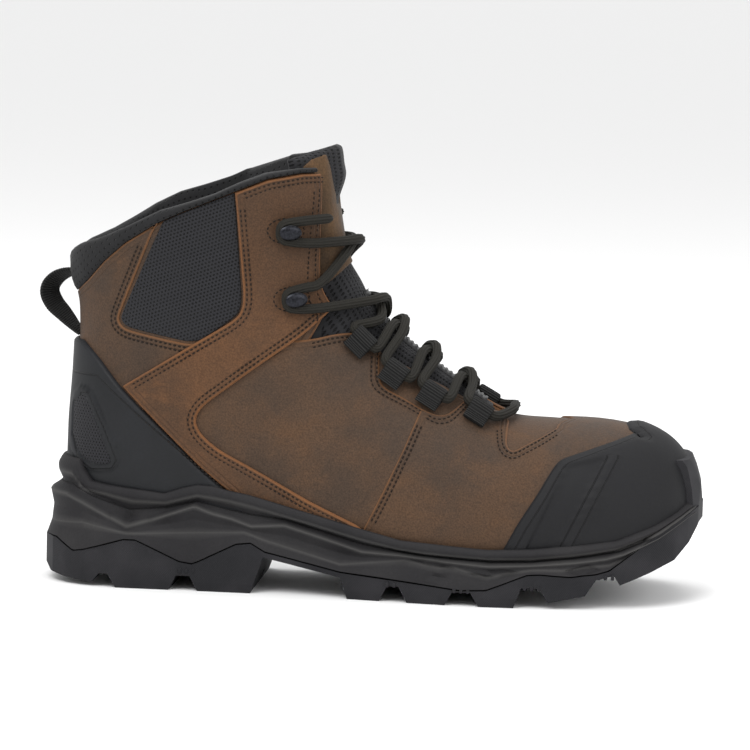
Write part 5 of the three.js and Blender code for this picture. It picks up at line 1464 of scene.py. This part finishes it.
def makeHook(number, spot, sideName, side):
    turn, angle = (float(v) for v in fromSide(np.array(spot[0]), np.array(spot[1]), side))
    f = frameAt(turn, angle, side)
    hookFrames[side].append(f)
    foot, neck, cap, base = (hookSpec[key] for key in ("foot", "neck", "cap", "base"))
    rise = base + hookSpec["footWall"]
    top = rise + hookSpec["room"]
    # radius, height and stretch of each ring, from the foot over the neck to the cap
    profile = [(0, base, 1), (foot * .96, base, 1), (foot, base + .3, 1), (foot * .86, rise - .1, 1),
               (foot * .55, rise + .1, 1), (neck + .3, rise + .6, 1), (neck, rise + 1.4, 1),
               (neck, top - .9, 1), (neck + .4, top - .3, 1.1)]
    for share, height in ((.85, -.1), (1.02, .25), (1.05, .65), (.96, 1.05), (.72, 1.45), (.38, 1.66)):
        profile.append((cap * share, top + height, hookSpec["stretch"]))
    profile.append((0, top + hookSpec["capWall"], hookSpec["stretch"]))
    ring = np.linspace(0, fullTurn, 33)
    points = np.stack([inFrame(f, r * s * np.cos(ring), r * np.sin(ring), o) for r, o, s in profile], 0)
    piece = gridPiece(f"speedHook_{sideName}_{number}", points, gunmetal, smooth=50)
    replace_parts(piece, f"hook_{sideName}_{number}")


for sideName, side in bothSides:
    for number, spot in enumerate(webSpec["ends"], 1):
        makeLaceLoop(number, spot, sideName, side)
    for number, spot in enumerate(hookSpec["spots"], 1):
        makeHook(number, spot, sideName, side)


def crestTurn(z):
    # the turn of the last whose crest has this height
    turns = np.linspace(0, 13, 400)
    return float(np.interp(z, sectionAt(turns)[:, 1], turns))


def onCrest(turn, y, lift):
    return crestPoint(np.array([turn]), np.array([float(y)]), np.array([float(lift)]))[0]


def laceStrand(side, order):
    # through the loops of both sides in turn, then round the hooks to the end behind the top one
    points = []
    run = webSpec["width"] / 2
    lift = webSpec["lift"] + webSpec["wall"] + webSpec["eye"]
    for i in range(4):
        f = loopFrames[side][i]
        points += [inFrame(f, a, b, c) for a, b, c in ((-.5, -run - 1.6, lift), (0, -run * .7, lift),
                                                       (0, run * .7, lift), (-.5, run + 1.6, lift))]
        if i < 3:
            turn = (f["turn"] + loopFrames[side][i + 1]["turn"]) / 2
            top = (i + order) % 2 == 0
            points.append(onCrest(turn - .16, -side * 10.5, 3.8))
            points.append(onCrest(turn, 0, laceSpec["over" if top else "under"]))
            side = -side
            points.append(onCrest(turn + .16, -side * 10.5, 3.8))
    for k, (height, lead, more) in enumerate(laceSpec["upper"]):
        turn = crestTurn(height)
        points.append(onCrest(turn - .35, -side * 12, lead))
        points.append(onCrest(turn, 0, laceSpec["over" if order == k else "under"] + more))
        side = -side
        f = hookFrames[side][k]
        r = hookSpec["neck"] + laceSpec["radius"] + .6
        out = hookSpec["base"] + hookSpec["footWall"] + hookSpec["room"] / 2
        points.append(onCrest(turn + .3, -side * 12, 4.6))
        hookTurn = ((-12, -r - .9, 4.2), (-6, -r - .6, 4.6), (-1, -r, out), (r * .8, -r * .65, out),
                    (r * .8, r * .65, out), (-1, r, out), (-6, r + .6, 4.6), (-12, r + 1.2, 4.2))
        points += [inFrame(f, a, b, c) for a, b, c in hookTurn]
    points.append(inFrame(f, -18, r + 1.6, 3.4))
    points.append(inFrame(f, -22, r + 1.6, .8))
    return points


def tube(name, path, spec, material, around=54):
    # a cord with ribs along it and narrowed ends, its frame carried along without twist
    way = directions(path)
    side = np.cross(way[0], (0, 0, 1))
    sides = []
    for w in way:
        side = side - w * (side @ w)
        side = side / np.linalg.norm(side)
        sides.append(side)
    sides = np.array(sides)
    ups = np.cross(way, sides)
    ring = np.linspace(0, fullTurn, around + 1)
    r = spec["radius"] - spec["rib"] + spec["rib"] * np.abs(np.cos(ring * spec["ribs"] / 2))
    ends = np.minimum(np.minimum(np.arange(len(path)), np.arange(len(path))[::-1]), spec["end"])
    shrink = np.sqrt(1 - (1 - (ends + .4) / (spec["end"] + .4)) ** 2)[:, None, None]
    points = path[:, None] + shrink * (sides[:, None] * (r * np.cos(ring))[None, :, None]
                                       + ups[:, None] * (r * np.sin(ring))[None, :, None])
    long = np.arange(len(path)) * np.linalg.norm(path[1] - path[0])
    uv = np.stack(np.broadcast_arrays(long[:, None], (ring * spec["radius"])[None]), 2)
    return gridPiece(name, points, material, uv=uv, smooth=0, fill=True)


def makeLace():
    left, right = laceStrand(1, 0), laceStrand(-1, 1)
    foot = [onCrest(laceSpec["foot"], y, laceSpec["radius"] + 1.0) for y in (-10, -5, 5, 10)]
    foot = foot if left[0][1] < 0 else foot[::-1]
    path = smoothPath(left[::-1] + foot + right, laceSpec["step"])
    print("lace length in millimetres", round(float(travelled(path)[-1])))
    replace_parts(tube("laceCord", path, laceSpec, laceYarn), "lace")


makeLace()

pullSpec = {"width": 14.0, "wall": 1.7, "twist": 30.0, "bulge": 1.2, "ribs": .09, "pitch": 1.0,
            "path": [(17.2, 146), (12, 146.6), (7.2, 145.7), (2.4, 143.2), (-.8, 139.2), (-1.2, 135.6),
                     (1.2, 130.6), (5.6, 126), (9.6, 121.8), (12.9, 118.4), (14.6, 116.8)]}


def makePullLoop():
    # a band that leans out to one side half way along
    flat = smoothPath([(x, 0, z) for x, z in pullSpec["path"]], .3)
    way = directions(flat)
    share = np.linspace(0, 1, len(flat))
    lean = np.radians(pullSpec["twist"]) * np.sin(np.pi * share)
    up = np.cross(way, (0, 1, 0))
    across = np.cos(lean)[:, None] * np.array([[0, 1, 0]]) + np.sin(lean)[:, None] * up
    flat[:, 1] += pullSpec["bulge"] * np.sin(np.pi * share)
    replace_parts(ribbon("pullLoop", flat, across, np.cross(across, way), pullSpec), "pull_loop")


makePullLoop()

stripSpec = {"from": 1.6, "to": 5.6, "half": 6.4, "rib": .55, "pitch": 2.6, "low": -.55, "wall": .9}


def makeTongueStrip():
    # ribbed webbing band down the middle of the tongue, with raised bars across it
    turns = np.linspace(stripSpec["from"], stripSpec["to"], 260)
    share = np.linspace(-1, 1, 21)
    y = share[None] * stripSpec["half"]
    t = acrossTurns(turns, len(share))
    low = np.full(t.shape, stripSpec["low"])
    gone = travelled(crestPoint(turns, 0 * turns, 0 * turns))
    bars = np.clip(.5 + .9 * np.sin(fullTurn * gone / stripSpec["pitch"]), 0, 1)[:, None]
    inside = np.clip((.82 - np.abs(share)) / .12, 0, 1)[None]
    rim = np.sqrt(np.clip(1 - np.abs(share) ** 10, .05, 1))[None]
    high = low + stripSpec["wall"] * rim + stripSpec["rib"] * bars * inside
    points = closedSheet(crestPoint(t, y, high), crestPoint(t, y, low))
    piece = gridPiece("tongueStrip", points, stripRubber, smooth=50, fill=True)
    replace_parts(piece, "tongue_strip")


makeTongueStrip()

bedSpec = {"lift": -2.9, "wall": 4.0}


def makeFootbed():
    # felt sheet on the inner side of the last's bottom
    turns = np.concatenate([np.linspace(-.9, 0, 30), np.linspace(.1, 7.2, 90)])
    share = np.linspace(-1, 1, 41)
    angle = math.pi + share[None] * np.where(turns < 0, .95, 1.02)[:, None]
    t = acrossTurns(turns, len(share))
    wall = bedSpec["wall"] * np.clip((1 - np.abs(share))[None] * 12, .08, 1) ** .5
    points = closedSheet(*(onLast(t, angle, bedSpec["lift"] - rise + 0 * t) for rise in (wall, 0)))
    piece = gridPiece("footbed", points, feltTop, smooth=50, fill=True)
    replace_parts(piece, "insole")


makeFootbed()
print("webbing, hooks and lace made")


# Sewing: dark thread, short stitches, mostly in two rows beside each cut edge.
sewing = {"pitch": 2.3, "share": .72, "thread": .75, "rows": (1.8, 3.8), "radii": (8.2, 5.9),
          "lifts": {"strap": 1.85, "quarter": -.2, "vamp": .25, "back": .1, "counter": 2.1}}


def sewSide(bm, side):
    rows = sewing["rows"]
    strap, quarter, vampTop, back = (sewing["lifts"][key] for key in ("strap", "quarter", "vamp", "back"))
    sewRows(bm, strapFront + [(152, 35.6)], side, (60, 70), rows, strap, 6)
    sewRows(bm, [(92.8, 181), (96.8, 138.3), (95.5, 131.8), (91.6, 127.8), (72.2, 115.8), (44, 97.8)],
            side, (118, 110), rows, strap, 7)
    top = np.linspace(95, 130.5, 24)
    collarRow = np.stack([top, alongLine(leatherTop, top) - .5 + collarLift(top, side)], 1)
    sewRows(bm, collarRow, side, (115, 100), rows, strap)
    upTo = np.arange(6.1, topTurn - .55, .1)
    for extra in rows:
        sewPath(bm, throatLine(upTo, side, extra), strap)
    sewRows(bm, [(50, 161), (37.1, 129.4), (36.4, 125.8), (39.6, 122.2), (70.1, 116.5), (75, 116.7)],
            side, (20, 110), rows, back, 5)
    sewRows(bm, [(128, 119.8), (139.1, 122.6), (148.4, 123.4), (153, 121.8)], side, (140, 90), rows,
            quarter, 5)
    for row, lift in (([(159.3, 114.3), (159.6, 101.1), (162.2, 97.7), (176.2, 91.2), (182, 88)], quarter),
                      ([(156.8, 113), (157.1, 100.4), (160.3, 96.7), (176.3, 89.3), (181, 86.8)], quarter),
                      ([(184.6, 86.6), (188.3, 84.4), (194.6, 85.2), (201.3, 92)], vampTop),
                      ([(183.6, 85.5), (189, 82.5), (195.3, 83.4), (202.6, 91)], vampTop)):
        sewPath(bm, onSide(row, side, 3, .5), lift)
    sewRows(bm, [(178.6, 83.2), (174.1, 71.7), (164.5, 49.9), (158.5, 37.6)], side, (200, 55), rows,
            vampTop, 5)
    sewRows(bm, [(220.6, 80.5), (221.6, 73.6), (224.9, 71.4), (228.2, 73.2), (236.8, 77.6), (243.4, 81.4)],
            side, (222, 40), rows, vampTop, 4)


def makeSewing():
    bm = bmesh.new()
    for side in (1, -1):
        sewSide(bm, side)
        sewRows(bm, [(28, 98.6), (59.7, 73), (79, 58), (93, 46.4)], side, (20, 40), (0.0,),
                sewing["lifts"]["counter"])
        for x, z in hookSpec["spots"]:  # an oval round each hook
            t = np.linspace(0, fullTurn, 60)
            long, tall = sewing["radii"]
            oval = np.stack([x - .6 + long * np.cos(t), z + tall * np.sin(t)], 1)
            sewPath(bm, sideLine(oval, side), sewing["lifts"]["strap"])
    finished(bm, "sewing", thread, smooth=0)


makeSewing()
print("sewing made")


# Floor, light and the camera that stands where the photographer stood. Lights: place, power, size.
stageSpec = {"azimuth": 5.0, "elevation": 6.0, "roll": 1.34, "distance": 1900.0, "aim": (156.3, 0, 101),
             "millimetresPerPixel": .477, "imagePixels": 750, "sensor": 36.0,
             "lights": {"keyLight": ((-.5, -1.3, 1.7), 27, 1.3), "fillLight": ((1.3, -1.0, .9), 9, 1.2),
                        "topLight": ((.1, .5, 1.9), 12, 1.4)}}


def makeFloor():
    bm = bmesh.new()
    bmesh.ops.create_grid(bm, x_segments=1, y_segments=1, size=60)
    mesh = bpy.data.meshes.new("floor")
    bm.to_mesh(mesh)
    bm.free()
    floor = bpy.data.objects.new("floor", mesh)
    bpy.context.scene.collection.objects.link(floor)
    material, _, shader, _ = newMaterial("paleFloor", Roughness=.9, Specular_IOR_Level=.2)
    shader.inputs["Base Color"].default_value = (.86, .86, .86, 1)
    mesh.materials.append(material)


def makeLight(name, place, energy, size):
    data = bpy.data.lights.new(name, "AREA")
    data.energy = energy
    data.shape = "DISK"
    data.size = size
    lamp = bpy.data.objects.new(name, data)
    bpy.context.scene.collection.objects.link(lamp)
    lamp.location = place
    lamp.rotation_mode = "QUATERNION"
    lamp.rotation_quaternion = (Vector((0, 0, .08)) - Vector(place)).to_track_quat("-Z", "Y")


def makeCamera():
    s = stageSpec
    psi, elevation, roll = (math.radians(s[k]) for k in ("azimuth", "elevation", "roll"))
    right = Vector((math.cos(psi), math.sin(psi), 0))
    back = Vector((math.sin(psi) * math.cos(elevation), -math.cos(psi) * math.cos(elevation),
                   math.sin(elevation)))
    up = back.cross(right)
    c, d = math.cos(roll), math.sin(roll)
    right, up = right * c + up * d, up * c - right * d
    data = bpy.data.cameras.new("camera")
    camera = bpy.data.objects.new("camera", data)
    bpy.context.scene.collection.objects.link(camera)
    data.sensor_width = s["sensor"]
    data.lens = s["sensor"] * s["distance"] / (s["imagePixels"] * s["millimetresPerPixel"])
    data.clip_start, data.clip_end = .05, 60
    aim = Vector(s["aim"]) + back * s["distance"]
    turned = Matrix((right, up, back)).transposed().to_4x4()
    camera.matrix_world = Matrix.Translation(Vector(toFrame([aim])[0])) @ turned
    bpy.context.scene.camera = camera


makeFloor()
for lightName, values in stageSpec["lights"].items():
    makeLight(lightName, *values)
world = bpy.data.worlds.new("studio")
world.use_nodes = True
world.node_tree.nodes["Background"].inputs[0].default_value = (1, 1, 1, 1)
world.node_tree.nodes["Background"].inputs[1].default_value = 1.0
bpy.context.scene.world = world
bpy.context.scene.view_settings.view_transform = "Standard"
makeCamera()
print("floor, lights and camera made")
